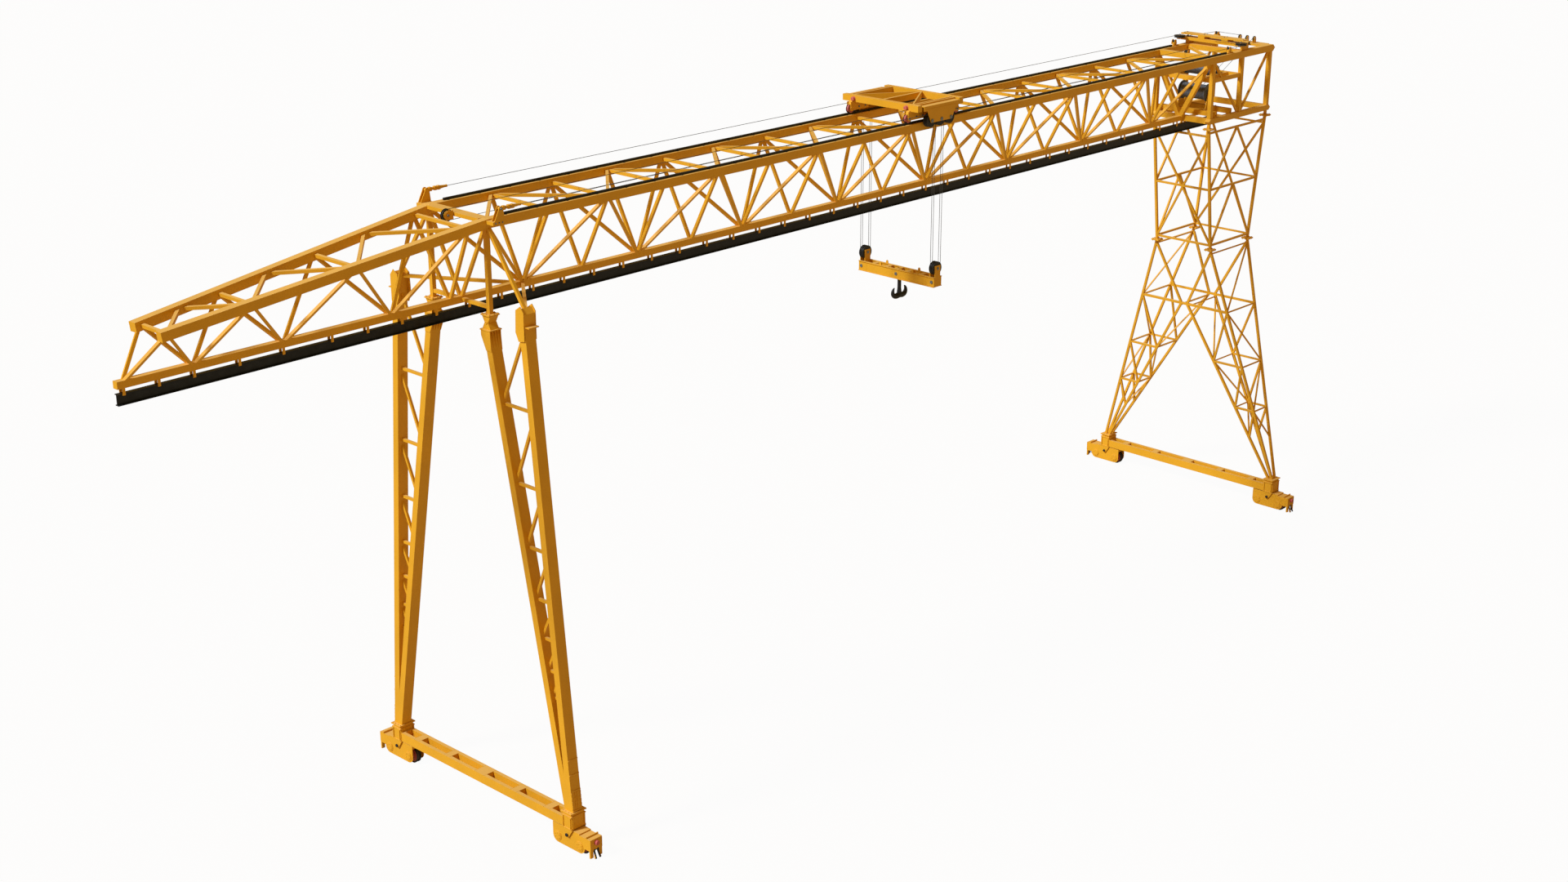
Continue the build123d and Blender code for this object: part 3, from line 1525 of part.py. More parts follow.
def main():
    os.makedirs("parts", exist_ok=True)
    sides = ("near", "far")
    spots = [(name, x, side) for name, x in (("leg", leg_x), ("tower", tower_at)) for side in sides]
    corners = [(sx, sy) for sx in (-1, 1) for sy in (-1, 1)]
    save([top_chord(s) for s in sides] + [nose_chord(s) for s in sides], "top_chords")
    save([bottom_chord()], "bottom_chord")
    save([rail(s) for s in sides], "trolley_rails")
    save([monorail()], "monorail_beam")
    save([hanger(x) for x in hanger_places()], "monorail_hangers")
    for s in sides:
        save([main_side(s)], "girder_side_" + s)
    save([nose_side(s) for s in sides], "nose_sides")
    save([main_top(), nose_top(), house_diagonal()], "top_bracing")
    save([knee_beam()] + [knee_post_block(s) + post_flange(s) for s in sides]
         + [knee_tie_bar(s) for s in sides], "knee_frame")
    heads = [outer_gusset(s) + gusset_flange(s) + head_plates(s) for s in sides]
    save([leg_hinge(s) for s in sides] + heads, "leg_heads")
    save([knee_strut(s) for s in sides] + [low_strut(s) for s in sides], "leg_struts")
    save([leg_columns(s) for s in sides], "leg_columns")
    save([leg_lacing(s) for s in sides], "leg_lacing")
    save([sill_beam(leg_x), sill_beam(tower_at)], "sill_beams")
    save([saddle(x, s) for _, x, s in spots] + [pivot_set(x, s) for _, x, s in spots], "saddles")
    for name, x, s in spots:
        full = name + "_" + s
        save([bogie(x, s) + bogie_buffer(x, s)] + rail_tongs(x, s), "bogie_" + full)
        for inner, label in ((1, "inner"), (-1, "outer")):
            y = side_sign(s) * (foot_half - inner * wheel_base / 2)
            save([crane_wheel(x, y)], "wheel_" + full + "_" + label)
    save(upper_chords() + outer_chords() + inner_chords(), "tower_chords")
    save(tower_flanges() + tower_stubs(), "tower_flanges")
    save([upper_side(s) for s in sides] + [upper_end(sx) for sx in (-1, 1)], "tower_upper_faces")
    save([lower_side(s) for s in sides] + [inner_side(s) for s in sides], "tower_leg_ties")
    save([lower_end(sx) for sx in (-1, 1)], "tower_portals")
    save(house_posts() + house_base(), "house_frame")
    save([house_side(s) for s in sides] + [end_brace(sy) for sy in (-1, 1)], "house_braces")
    save(house_struts() + [platform_frame()], "house_cross_beams")
    save([hoist_skid()] + haul_stands(), "winch_frames")
    save([drum(drum_radius, drum_flange_radius, drum_length, hoist_drum_x, hoist_drum_z)],
         "hoist_drum")
    save([drum(haul_drum_radius, haul_flange_radius, haul_drum_length, haul_drum_x, haul_drum_z)],
         "haulage_drum")
    save([rope_deck()] + small_stands() + [rail_end_block(s) for s in sides], "rope_deck")
    save([deck_sheave(s) for s in sides], "deck_sheaves")
    save([return_sheave()], "return_sheave")
    save([return_block()] + [rope_anchor(s) for s in sides], "rope_anchors")
    save([hoist_rope(s) for s in sides] + haul_ropes(), "running_ropes")
    frame = trolley_frame()
    for sx, sy in corners:
        frame = frame + wheel_box(sx, sy)
    save([frame], "trolley_frame")
    save([side_plate(s) for s in sides], "trolley_side_plates")
    save(trolley_sheaves(), "trolley_sheaves")
    for sx, sy in corners:
        name = ("left" if sx < 0 else "right") + ("_near" if sy < 0 else "_far")
        save([trolley_wheel(sx, sy)], "trolley_wheel_" + name)
    save([hook_beam()], "hook_beam")
    for s in sides:
        save([beam_sheave(s)], "hook_beam_sheave_" + s)
    save([ramshorn_hook()], "hook")
    save(rope_falls(), "rope_falls")


if __name__ == "__main__":
    main()
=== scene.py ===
"""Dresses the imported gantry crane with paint, ropes, bolts, hook, wheels and a plain stage."""
import json
from math import cos, pi, radians, sin

import bmesh
import bpy
from bpy.props import FloatProperty, FloatVectorProperty, PointerProperty
from bpy.types import NodeSocket, Operator, Panel, PropertyGroup
from mathutils import Matrix, Vector


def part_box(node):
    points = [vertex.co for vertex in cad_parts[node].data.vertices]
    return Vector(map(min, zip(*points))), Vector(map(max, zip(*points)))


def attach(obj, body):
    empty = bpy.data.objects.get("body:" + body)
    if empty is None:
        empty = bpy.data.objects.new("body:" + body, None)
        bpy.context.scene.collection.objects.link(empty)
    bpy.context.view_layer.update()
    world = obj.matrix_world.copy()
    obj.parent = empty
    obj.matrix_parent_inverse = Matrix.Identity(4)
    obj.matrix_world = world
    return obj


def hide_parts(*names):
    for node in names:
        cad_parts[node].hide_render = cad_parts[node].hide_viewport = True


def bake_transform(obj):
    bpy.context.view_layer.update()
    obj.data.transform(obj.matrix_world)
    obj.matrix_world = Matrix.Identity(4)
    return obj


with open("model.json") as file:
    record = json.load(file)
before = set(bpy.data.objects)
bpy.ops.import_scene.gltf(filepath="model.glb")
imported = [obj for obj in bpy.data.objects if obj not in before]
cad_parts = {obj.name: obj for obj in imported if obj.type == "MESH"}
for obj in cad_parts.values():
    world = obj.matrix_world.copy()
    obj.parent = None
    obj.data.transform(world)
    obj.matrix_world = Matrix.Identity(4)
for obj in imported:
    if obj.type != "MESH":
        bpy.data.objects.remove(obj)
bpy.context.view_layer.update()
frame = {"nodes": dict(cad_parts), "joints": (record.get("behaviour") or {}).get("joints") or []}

bl_info = {
    "name": "Gantry Crane Dressing",
    "version": (1, 0, 0),
    "blender": (4, 5, 0),
    "location": "View3D > Sidebar > Crane",
    "description": "Adds finishes, ropes, bolts and fittings to a packed truss gantry crane",
    "category": "Object",
}


def centre(node):
    """Middle of a CAD node's box."""
    low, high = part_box(node)
    return (low + high) / 2


def joint_at(name):
    """Where the axis of a joint stands at rest."""
    for joint in frame["joints"]:
        if joint["name"] == name:
            return Vector(joint["pos_m"])
    raise ValueError("no joint named " + name)


# Places in metres, read from the CAD where a node or a joint has them

BOTH = (-1, 1)
CORNERS = [(sx, sy) for sx in BOTH for sy in BOTH]
LEG = centre("leg_columns").x
TOWER = centre("tower_chords").x
TROLLEY = centre("trolley_frame").x
CHORD_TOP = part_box("knee_frame")[1].z
HOIST_DRUM = joint_at("hoist_drum_turn")
HAUL_DRUM = joint_at("haulage_drum_turn")
RETURN = joint_at("return_sheave_turn")
CHORD_Y = 0.957  # middle of a top chord
FOOT_Y = 3.074  # middle of a foot
FOOT_TOP = 0.94
HOUSE_START, HOUSE_END = TOWER - 1.531, TOWER + 1.531  # posts of the winch house
ROPE_Y, ROPE_Z = 1.2305, 14.160  # hoist ropes along the girder
HOOK_SHEAVE_Y, HOOK_SHEAVE_Z = 1.198, 10.117
DECK_SHEAVE_X, DECK_SHEAVE_Y = TOWER - 0.28, ROPE_Y - 0.159
SMALL_SHEAVE_X, SMALL_SHEAVE_Z = HOUSE_END - 0.100, CHORD_TOP + 0.120
SMALL_SHEAVE_Y = (-0.46, -0.21, 0.04)
FAR_GUIDE_Y = 0.857
HOUSE_ROLLER_X = HOUSE_START + 0.030

# Radii of the sheaves' grooves and of the haulage rope on its drum, and half a pair of falls
RETURN_GROOVE, DECK_GROOVE, FALL_GROOVE, SMALL_GROOVE = 0.115, 0.150, 0.153, 0.071
HAUL_WINDING = 0.159
FALL_HALF = 0.0325


# Sizes and colours that a user would change

class CraneColours(PropertyGroup):
    paint: FloatVectorProperty(name="Paint", description="Colour of the painted steelwork",
                               subtype="COLOR", size=3, min=0, max=1, default=(0.80, 0.430, 0.026))
    black: FloatVectorProperty(name="Black Steel", description="Colour of sheaves, drums and hook",
                               subtype="COLOR", size=3, min=0, max=1, default=(0.020, 0.025, 0.033))
    rail: FloatVectorProperty(name="Rail Steel", description="Colour of the rails and the monorail",
                              subtype="COLOR", size=3, min=0, max=1,
                              default=(0.0125, 0.0180, 0.0280))
    red: FloatVectorProperty(name="Red Paint", description="Colour of the wheel discs and buffers",
                             subtype="COLOR", size=3, min=0, max=1, default=(0.60, 0.140, 0.150))
    bolt: FloatVectorProperty(name="Bolt Steel", description="Colour of bolts and pin heads",
                              subtype="COLOR", size=3, min=0, max=1, default=(0.21, 0.26, 0.33))
    rope: FloatVectorProperty(name="Rope", description="Colour of the wire rope",
                              subtype="COLOR", size=3, min=0, max=1, default=(0.09, 0.105, 0.125))


class CraneSizes(PropertyGroup):
    rope_radius: FloatProperty(name="Rope Radius", description="Radius of the wire ropes",
                               unit="LENGTH", default=0.006, min=0.004, max=0.02)
    rope_lay: FloatProperty(name="Rope Lay", description="Length of one turn of a rope strand",
                            unit="LENGTH", default=0.085, min=0.03, max=0.5)
    flange_bolt: FloatProperty(name="Flange Bolt",
                               description="Radius of the heads of flange bolts",
                               unit="LENGTH", default=0.017, min=0.008, max=0.04)
    pin_head: FloatProperty(name="Pin Head", description="Radius of the heads of sheave pins",
                            unit="LENGTH", default=0.048, min=0.02, max=0.08)
    clip_pitch: FloatProperty(name="Rail Clip Pitch", description="Distance between rail clips",
                              unit="LENGTH", default=0.85, min=0.3, max=2.0)
    edge: FloatProperty(name="Edge Round", description="Width of the rounded edges on fittings",
                        unit="LENGTH", default=0.003, min=0.0005, max=0.02)


class CraneStage(PropertyGroup):
    sun: FloatProperty(name="Key Light", description="Strength of the key light", default=3.1,
                       min=0, max=10)
    sky: FloatProperty(name="Soft Light", description="Strength of the even light all round",
                       default=0.34, min=0, max=2)
    sky_colour: FloatVectorProperty(name="Soft Light Colour",
                                    description="Colour of the even light",
                                    subtype="COLOR", size=3, min=0, max=1,
                                    default=(1.0, 0.60, 0.16))
    lens: FloatProperty(name="Lens", description="Focal length of the camera", unit="CAMERA",
                        default=50.325, min=20, max=200)
    eye: FloatVectorProperty(name="Eye", description="Place of the camera", subtype="XYZ",
                             unit="LENGTH", size=3, default=(LEG - 27.855, -35.973, 24.813))


# Finishes

MIX_FIRST, MIX_SECOND, MIX_RESULT = 6, 7, 2  # colour sockets of a Mix node
# Cream for faces that look up: partly a dusting, partly a painted sheen of light on the tops
DUST_AND_SHEEN_COLOUR = (0.92, 0.80, 0.55, 1)
DRUM_SHADE = 5.5  # the drums are this much lighter than black steel
GROUND_WHEEL_DISC, TROLLEY_WHEEL_DISC = 0.17, 0.103  # radii of the painted discs


def feed(tree, node, inputs):
    """Gives each input a fixed value, or a link from another node's output."""
    for socket, value in inputs.items():
        if isinstance(value, NodeSocket):
            tree.links.new(value, node.inputs[socket])
        else:
            node.inputs[socket].default_value = value


def add_node(tree, kind, output, inputs, **settings):
    """One output of a new shader node."""
    node = tree.nodes.new(kind)
    for name, setting in settings.items():
        setattr(node, name, setting)
    feed(tree, node, inputs)
    return node.outputs[output]


def shader(name, slot_name):
    """A new material with its nodes and its surface shader."""
    material = bpy.data.materials.new(name)
    material.use_nodes = True
    material["slot"] = slot_name
    return material, material.node_tree, material.node_tree.nodes["Principled BSDF"]


def in_frame(tree):
    """Places in the crane's own frame."""
    return add_node(tree, "ShaderNodeTexCoord", "Object", {})


def speckle(tree, scale, detail):
    """Noise in the crane's own frame."""
    return add_node(tree, "ShaderNodeTexNoise", "Fac",
                    {"Vector": in_frame(tree), "Scale": scale, "Detail": detail})


def mottle(tree, value, low, high, places=(0.35, 0.65)):
    """Two colours spread over a value."""
    node = tree.nodes.new("ShaderNodeValToRGB")
    for element, place, colour in zip(node.color_ramp.elements, places, (low, high)):
        element.position = place
        element.color = (*colour, 1)
    feed(tree, node, {"Fac": value})
    return node.outputs["Color"]


def grain(tree, scale, depth):
    """Fine bumps in the surface."""
    return add_node(tree, "ShaderNodeBump", "Normal",
                    {"Height": speckle(tree, scale, 3), "Distance": depth, "Strength": 0.5})


def spread(tree, value, low, high):
    """A value from 0 to 1 spread between two others."""
    return add_node(tree, "ShaderNodeMapRange", "Result",
                    {"Value": value, "To Min": low, "To Max": high})


def mix(tree, share, first, second, blend="MIX"):
    """Two colours mixed."""
    return add_node(tree, "ShaderNodeMix", MIX_RESULT,
                    {"Factor": share, MIX_FIRST: first, MIX_SECOND: second},
                    data_type="RGBA", blend_type=blend)


def painted(name, colour, slot_name, dust_and_sheen=0.20):
    """Sprayed gloss paint: broad tone changes, fine speckle, and cream on faces that look up,
    partly a dusting, partly painted sheen.
    """
    material, tree, surface = shader(name, slot_name)
    broad = speckle(tree, 1.3, 4)
    tone = mottle(tree, broad, [c * 0.94 for c in colour], [min(1, c * 1.03) for c in colour])
    fine = mottle(tree, speckle(tree, 34, 2), (0.94, 0.93, 0.90), (1, 1, 1))
    base = mix(tree, 0.8, tone, fine, "MULTIPLY")
    # Faces that look up turn cream: partly a dusting, partly painted sheen where the light falls on
    # them
    facing = add_node(tree, "ShaderNodeNewGeometry", "Normal", {})
    upward = add_node(tree, "ShaderNodeSeparateXYZ", "Z", {"Vector": facing})
    layer = add_node(tree, "ShaderNodeMapRange", "Result",
                     {"Value": upward, "From Min": 0.55, "From Max": 1.0, "To Max": dust_and_sheen})
    feed(tree, surface, {"Base Color": mix(tree, layer, base, DUST_AND_SHEEN_COLOUR),
                         "Specular IOR Level": 0.22, "Roughness": spread(tree, broad, 0.40, 0.54),
                         "Normal": grain(tree, 160, 0.0008)})
    return material


def steel(name, colour, slot_name, rough, metal, scale=22):
    """Bare or blackened steel with uneven tone and a fine grain."""
    material, tree, surface = shader(name, slot_name)
    noise = speckle(tree, scale, 5)
    tone = mottle(tree, noise, [c * 0.72 for c in colour], [min(1, c * 1.35) for c in colour])
    feed(tree, surface, {"Base Color": tone, "Metallic": metal, "Specular IOR Level": 0.3,
                         "Roughness": spread(tree, noise, rough - 0.08, rough + 0.1),
                         "Normal": grain(tree, 210, 0.0006)})
    return material


def banded_wheel(wheel, axis, radius):
    """A wheel's finish: painted disc inside a radius, dark rolled steel outside it."""
    colours = bpy.context.scene.crane_colours
    material, tree, surface = shader("Finish of " + wheel, "wheel_steel")
    noise = speckle(tree, 30, 4)
    tone = mottle(tree, noise, (0.8, 0.8, 0.8), (1, 1, 1))
    across = [0 if k == axis else 1 for k in range(3)]
    offset = add_node(tree, "ShaderNodeVectorMath", "Vector",
                      {0: in_frame(tree), 1: centre(wheel)}, operation="SUBTRACT")
    flat = add_node(tree, "ShaderNodeVectorMath", "Vector", {0: offset, 1: across},
                    operation="MULTIPLY")
    length = add_node(tree, "ShaderNodeVectorMath", "Value", {0: flat}, operation="LENGTH")
    edge = add_node(tree, "ShaderNodeMath", "Value", {0: length, 1: radius},
                    operation="GREATER_THAN")
    bands = mix(tree, edge, (*colours.red, 1), (*colours.black, 1))
    feed(tree, surface, {"Base Color": mix(tree, 1, bands, tone, "MULTIPLY"),
                         "Roughness": spread(tree, noise, 0.35, 0.6),
                         "Normal": grain(tree, 150, 0.0008)})
    return material


def strands(name, colour, lay):
    """Wire rope: diagonal strands as dark grooves and bumps."""
    material, tree, surface = shader(name, "rope")
    wave = add_node(tree, "ShaderNodeTexWave", "Fac",
                    {"Vector": in_frame(tree), "Scale": 1 / lay, "Distortion": 0.6},
                    wave_type="BANDS", bands_direction="DIAGONAL")
    tone = mottle(tree, wave, [c * 0.55 for c in colour], [min(1, c * 1.5) for c in colour], (0, 1))
    bump = add_node(tree, "ShaderNodeBump", "Normal", {"Height": wave, "Distance": 0.002})
    feed(tree, surface, {"Base Color": tone, "Normal": bump, "Metallic": 0.6, "Roughness": 0.45})
    return material


def finish(kind):
    """One of the shared finishes, made on first use from the scene's colours."""
    colours, lay = bpy.context.scene.crane_colours, bpy.context.scene.crane_sizes.rope_lay
    drum = [DRUM_SHADE * c for c in colours.black]
    name, maker, *values = {
        "paint": ("Chrome Yellow Paint", painted, colours.paint, "yellow_paint"),
        "red": ("Signal Red Paint", painted, colours.red, "wheel_steel", 0.0),
        "rope": ("Greased Wire Rope", strands, colours.rope, lay),
        "drum": ("Worn Drum Steel", steel, drum, "dark_steel", 0.5, 0.1),
        "rail": ("Dark Rolled Rail", steel, colours.rail, "rail_steel", 0.42, 0.3, 6),
        "bolt": ("Plated Bolt Steel", steel, colours.bolt, "dark_steel", 0.38, 0.7, 60),
        "black": ("Blackened Cast Steel", steel, colours.black, "dark_steel", 0.46, 0.2),
    }[kind]
    return bpy.data.materials.get(name) or maker(name, *values)


# Shapes in bmesh

def add_box(bm, low, high):
    """A block between two corners."""
    low, high = Vector(low), Vector(high)
    size = Matrix.Diagonal((*[abs(high[k] - low[k]) for k in range(3)], 1))
    bmesh.ops.create_cube(bm, size=1, matrix=Matrix.Translation((low + high) / 2) @ size)


def along(direction):
    """A turn that takes Z to a direction."""
    return Vector(direction).to_track_quat("Z", "X").to_matrix().to_4x4()


def add_rod(bm, start, end, radius, sides=20, end_radius=None):
    """A round bar or cone between two points."""
    start, end = Vector(start), Vector(end)
    place = Matrix.Translation((start + end) / 2) @ along(end - start)
    bmesh.ops.create_cone(bm, cap_ends=True, segments=sides, radius1=radius,
                          radius2=radius if end_radius is None else end_radius,
                          depth=(end - start).length, matrix=place)


def add_bolt(bm, at, normal, radius):
    """A washer, a six-sided head and the end of the shank."""
    at, normal = Vector(at), Vector(normal).normalized()
    washer, head = radius * 0.3, radius * 0.75
    add_rod(bm, at, at + normal * washer, radius * 1.45, 14)
    add_rod(bm, at + normal * washer, at + normal * (washer + head), radius * 1.08, 6, radius)
    add_rod(bm, at + normal * (washer + head), at + normal * (washer + head * 1.4), radius * 0.5, 8)


def add_pin_head(bm, at, normal, radius):
    """A turned pin head with a chamfer and a centre dimple."""
    normal = Vector(normal)
    profile = [(radius, -0.006), (radius, 0.010), (radius * 0.86, 0.018), (radius * 0.34, 0.018),
               (radius * 0.26, 0.012), (0, 0.012)]
    add_lathe(bm, profile, at, normal, 24)


def add_lathe(bm, profile, at, axis, sides):
    """Turns a profile of (radius, height) round an axis; radius 0 closes an end."""
    place = Matrix.Translation(Vector(at)) @ along(axis)
    rings = []
    for radius, height in profile:
        if radius == 0:
            rings.append([bm.verts.new(place @ Vector((0, 0, height)))])
        else:
            rings.append([bm.verts.new(place @ Vector((radius * cos(2 * pi * k / sides),
                                                       radius * sin(2 * pi * k / sides), height)))
                          for k in range(sides)])
    for a, b in zip(rings, rings[1:]):
        for k in range(sides):
            n = (k + 1) % sides
            if len(a) == 1 and len(b) > 1:
                bm.faces.new((a[0], b[k], b[n]))
            elif len(b) == 1 and len(a) > 1:
                bm.faces.new((a[k], a[n], b[0]))
            elif len(a) > 1:
                bm.faces.new((a[k], a[n], b[n], b[k]))
    for ring in (rings[0], rings[-1]):
        if len(ring) > 1:
            bm.faces.new(ring)


def add_prism(bm, outline, place, thick):
    """A flat outline of (u, v) points, made thick both ways from its plane."""
    layers = []
    for w in (-thick / 2, thick / 2):
        layers.append([bm.verts.new(place @ Vector((u, v, w))) for u, v in outline])
    bm.faces.new(layers[0])
    bm.faces.new(layers[1])
    count = len(outline)
    for k in range(count):
        n = (k + 1) % count
        bm.faces.new((layers[0][k], layers[0][n], layers[1][n], layers[1][k]))


def facing_x(x):
    """A plane across X: u is Y and v is Z."""
    return Matrix(((0, 0, 1, x), (1, 0, 0, 0), (0, 1, 0, 0), (0, 0, 0, 1)))


def facing_y(y):
    """A plane across Y: u is X and v is Z."""
    return Matrix(((1, 0, 0, 0), (0, 0, 1, y), (0, 1, 0, 0), (0, 0, 0, 1)))


def ear_outline(x, foot, z, radius, half):
    """An ear on a foot of half a width, with half a circle round a pin at z."""
    top = [(x - radius * cos(radians(a)), z + radius * sin(radians(a))) for a in range(0, 181, 20)]
    return [(x - half, foot)] + top + [(x + half, foot)]


def add_tube(bm, points, radii, sides):
    """A round tube through points, with a radius at each and closed ends."""
    points = [Vector(p) for p in points]
    last = len(points) - 1
    normal = None
    rings = []
    for i, p in enumerate(points):
        forward = (points[min(i + 1, last)] - points[max(i - 1, 0)]).normalized()
        if normal is None:
            normal = forward.orthogonal().normalized()
        normal = (normal - forward * normal.dot(forward)).normalized()
        cross = forward.cross(normal)
        rings.append([bm.verts.new(p + radii[i] * (normal * cos(2 * pi * k / sides)
                                                   + cross * sin(2 * pi * k / sides)))
                      for k in range(sides)])
    for a, b in zip(rings, rings[1:]):
        for k in range(sides):
            n = (k + 1) % sides
            bm.faces.new((a[k], a[n], b[n], b[k]))
    bm.faces.new(rings[0])
    bm.faces.new(rings[-1])


def smooth_path(points, steps):
    """Points on a curve that passes through the given ones, each a tuple of any length."""
    full = [points[0]] + list(points) + [points[-1]]
    out = []
    for i in range(1, len(full) - 2):
        a, b, c, d = full[i - 1:i + 3]
        for step in range(steps):
            t = step / steps
            out.append(tuple(0.5 * (2 * q + (r - p) * t + (2 * p - 5 * q + 4 * r - s) * t * t
                                    + (3 * q - p - 3 * r + s) * t ** 3)
                             for p, q, r, s in zip(a, b, c, d)))
    out.append(tuple(points[-1]))
    return out


def make_piece(name, bm, kind, body, edge=True, smooth=False):
    """A finished object from a bmesh, riding on a CAD body when one is given."""
    bmesh.ops.recalc_face_normals(bm, faces=bm.faces)
    mesh = bpy.data.meshes.new(name)
    bm.to_mesh(mesh)
    bm.free()
    material = finish(kind)
    mesh.materials.append(material)
    piece = bpy.data.objects.new(name, mesh)
    bpy.context.scene.collection.objects.link(piece)
    if smooth:
        for face in mesh.polygons:
            face.use_smooth = True
    if edge:
        bevel = piece.modifiers.new("Rounded Edges", "BEVEL")
        bevel.width = bpy.context.scene.crane_sizes.edge
        bevel.segments = 2
        bevel.limit_method = "ANGLE"
        bevel.angle_limit = radians(40)
    if body:
        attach(piece, body)
    return piece


class CraneOperator(Operator):
    """Shared settings of the crane's operators"""
    bl_options = {"REGISTER", "UNDO"}


# Finishes on the CAD nodes

class CRANE_OT_finishes(CraneOperator):
    """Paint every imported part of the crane"""
    bl_idname = "crane.finishes"
    bl_label = "Finishes"

    def execute(self, context):
        kinds = dict.fromkeys(("deck_sheaves", "return_sheave", "trolley_sheaves", "hook",
                               "hook_beam_sheave_near", "hook_beam_sheave_far"), "black")
        kinds.update(trolley_rails="rail", monorail_beam="rail", running_ropes="rope",
                     rope_falls="rope", hoist_drum="drum", haulage_drum="drum")
        for name, node in frame["nodes"].items():
            if name.startswith("wheel_"):
                material = banded_wheel(name, 0, GROUND_WHEEL_DISC)
            elif name.startswith("trolley_wheel"):
                material = banded_wheel(name, 1, TROLLEY_WHEEL_DISC)
            else:
                material = finish(kinds.get(name, "paint"))
            node.data.materials.clear()
            node.data.materials.append(material)
        return {"FINISHED"}


# Ropes

def rope_piece(name, runs, body="crane", rings=2):
    """Round ropes, each a list of points, as one piece."""
    radius = bpy.context.scene.crane_sizes.rope_radius
    bm = bmesh.new()
    for points in runs:
        if rings > 2 and len(points) == 2:
            a, b = Vector(points[0]), Vector(points[1])
            points = [a.lerp(b, k / (rings - 1)) for k in range(rings)]
        add_tube(bm, points, [radius] * len(points), 10)
    return make_piece(name, bm, "rope", body, edge=False, smooth=True)


def arc(x, z, y, radius, start, end, steps=14):
    """Points round a circle across Y, angles in degrees from +X towards +Z."""
    return [(x + radius * cos(radians(start + (end - start) * k / steps)), y,
             z + radius * sin(radians(start + (end - start) * k / steps)))
            for k in range(steps + 1)]


class CRANE_OT_ropes(CraneOperator):
    """Lay the hoist and haulage ropes from end to end"""
    bl_idname = "crane.ropes"
    bl_label = "Ropes"

    def execute(self, context):
        rope = context.scene.crane_sizes.rope_radius
        turn = DECK_GROOVE + rope
        runs = self.hoist_runs(turn) + [self.haulage_run(RETURN_GROOVE + rope)]
        ropes = rope_piece("hoist_and_haulage_ropes", runs + self.drum_runs(ROPE_Y - turn))
        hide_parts("running_ropes")

        radius = FALL_GROOVE + rope
        low, high = centre("hook_beam_sheave_near").z, centre("trolley_sheaves").z
        falls = [[(TROLLEY + sx * radius, sy * HOOK_SHEAVE_Y + k * FALL_HALF, z)
                  for z in (low, high)] for sx, sy in CORNERS for k in BOTH]
        fall = rope_piece("hoist_rope_falls", falls, None, 16)
        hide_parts("rope_falls")
        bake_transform(fall)

        bm = bmesh.new()
        start, neck, end = LEG + 0.50, LEG + 0.68, LEG + 0.72
        for sy in BOTH:
            y = sy * ROPE_Y
            add_rod(bm, (start, y, ROPE_Z), (neck, y, ROPE_Z), 0.042, 18, 0.026)
            add_rod(bm, (neck, y, ROPE_Z), (end, y, ROPE_Z), 0.030, 18)
        make_piece("rope_sockets", bm, "paint", "crane")
        return {"FINISHED"}

    def hoist_runs(self, turn):
        """Along the girder and a quarter round each deck sheave, the near one on across."""
        middle = ROPE_Y - turn
        runs = []
        for sy in BOTH:
            bend = [(DECK_SHEAVE_X + turn * sin(radians(a)),
                     sy * (middle + turn * cos(radians(a))), ROPE_Z) for a in range(0, 91, 9)]
            tail = [(DECK_SHEAVE_X + turn, sy * 0.02, ROPE_Z)] if sy < 0 else []
            runs.append([(LEG + 0.55, sy * ROPE_Y, ROPE_Z)] + bend + tail)
        return runs

    def haulage_run(self, wrap):
        """From the drum over the house's roller, round the return sheave and back."""
        x = HOUSE_ROLLER_X
        upper = [(HAUL_DRUM.x, 0.05, HAUL_DRUM.z + HAUL_WINDING),
                 (x + 0.050, 0.004, RETURN.z + wrap - 0.012),
                 (x + 0.025, 0, RETURN.z + wrap - 0.002), (x, 0, RETURN.z + wrap)]
        lower = [(HOUSE_START - 0.2, 0, RETURN.z - wrap),
                 (HAUL_DRUM.x, -0.05, HAUL_DRUM.z - HAUL_WINDING)]
        return upper + arc(RETURN.x, RETURN.z, 0, wrap, 90, 270) + lower

    def drum_runs(self, middle):
        """From the far deck sheave over the guide and the small sheaves to the hoist drum."""
        x = SMALL_SHEAVE_X
        runs = [[(DECK_SHEAVE_X + 0.02, middle - 0.10, ROPE_Z),
                 (x, FAR_GUIDE_Y, CHORD_TOP + 0.193)],
                [(x, 0.80, CHORD_TOP + 0.190), (x, 0.075, CHORD_TOP + 0.175)]]
        for y, drum_y in zip(SMALL_SHEAVE_Y, (-0.40, -0.20)):
            over = arc(x, SMALL_SHEAVE_Z, y, SMALL_GROOVE, 60, 150, 8)
            runs.append(over + [(HOIST_DRUM.x + 0.09, drum_y, HOIST_DRUM.z + 0.205)])
        return runs


# One horn of the hook: distance from the shank, height over the hook's foot, radius
HORN = ((0.0, 0.100, 0.078), (0.07, 0.086, 0.076), (0.13, 0.078, 0.070), (0.200, 0.098, 0.064),
        (0.246, 0.150, 0.055), (0.255, 0.215, 0.043), (0.236, 0.268, 0.031),
        (0.205, 0.303, 0.017), (0.192, 0.312, 0.006))


class CRANE_OT_hook(CraneOperator):
    """Forge the double hook with round horns"""
    bl_idname = "crane.hook"
    bl_label = "Hook"

    def execute(self, context):
        low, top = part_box("hook")[0].z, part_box("hook")[1].z
        path = smooth_path(HORN, 6)
        bm = bmesh.new()
        for s in BOTH:
            add_tube(bm, [(TROLLEY + s * x, 0, low + z) for x, z, r in path],
                     [r for x, z, r in path], 18)
        shank = [(0.052, low + 0.10), (0.064, low + 0.17), (0.054, low + 0.25), (0.050, low + 0.30),
                 (0.050, top - 0.025), (0.074, top - 0.024), (0.075, top - 0.004),
                 (0.066, top), (0, top)]
        add_lathe(bm, [(0, low + 0.10)] + shank, (TROLLEY, 0, 0), (0, 0, 1), 28)
        piece = make_piece("forged_double_hook", bm, "black", "hook", edge=False, smooth=True)
        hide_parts("hook")
        return {"FINISHED"}


# Running gear on the ground

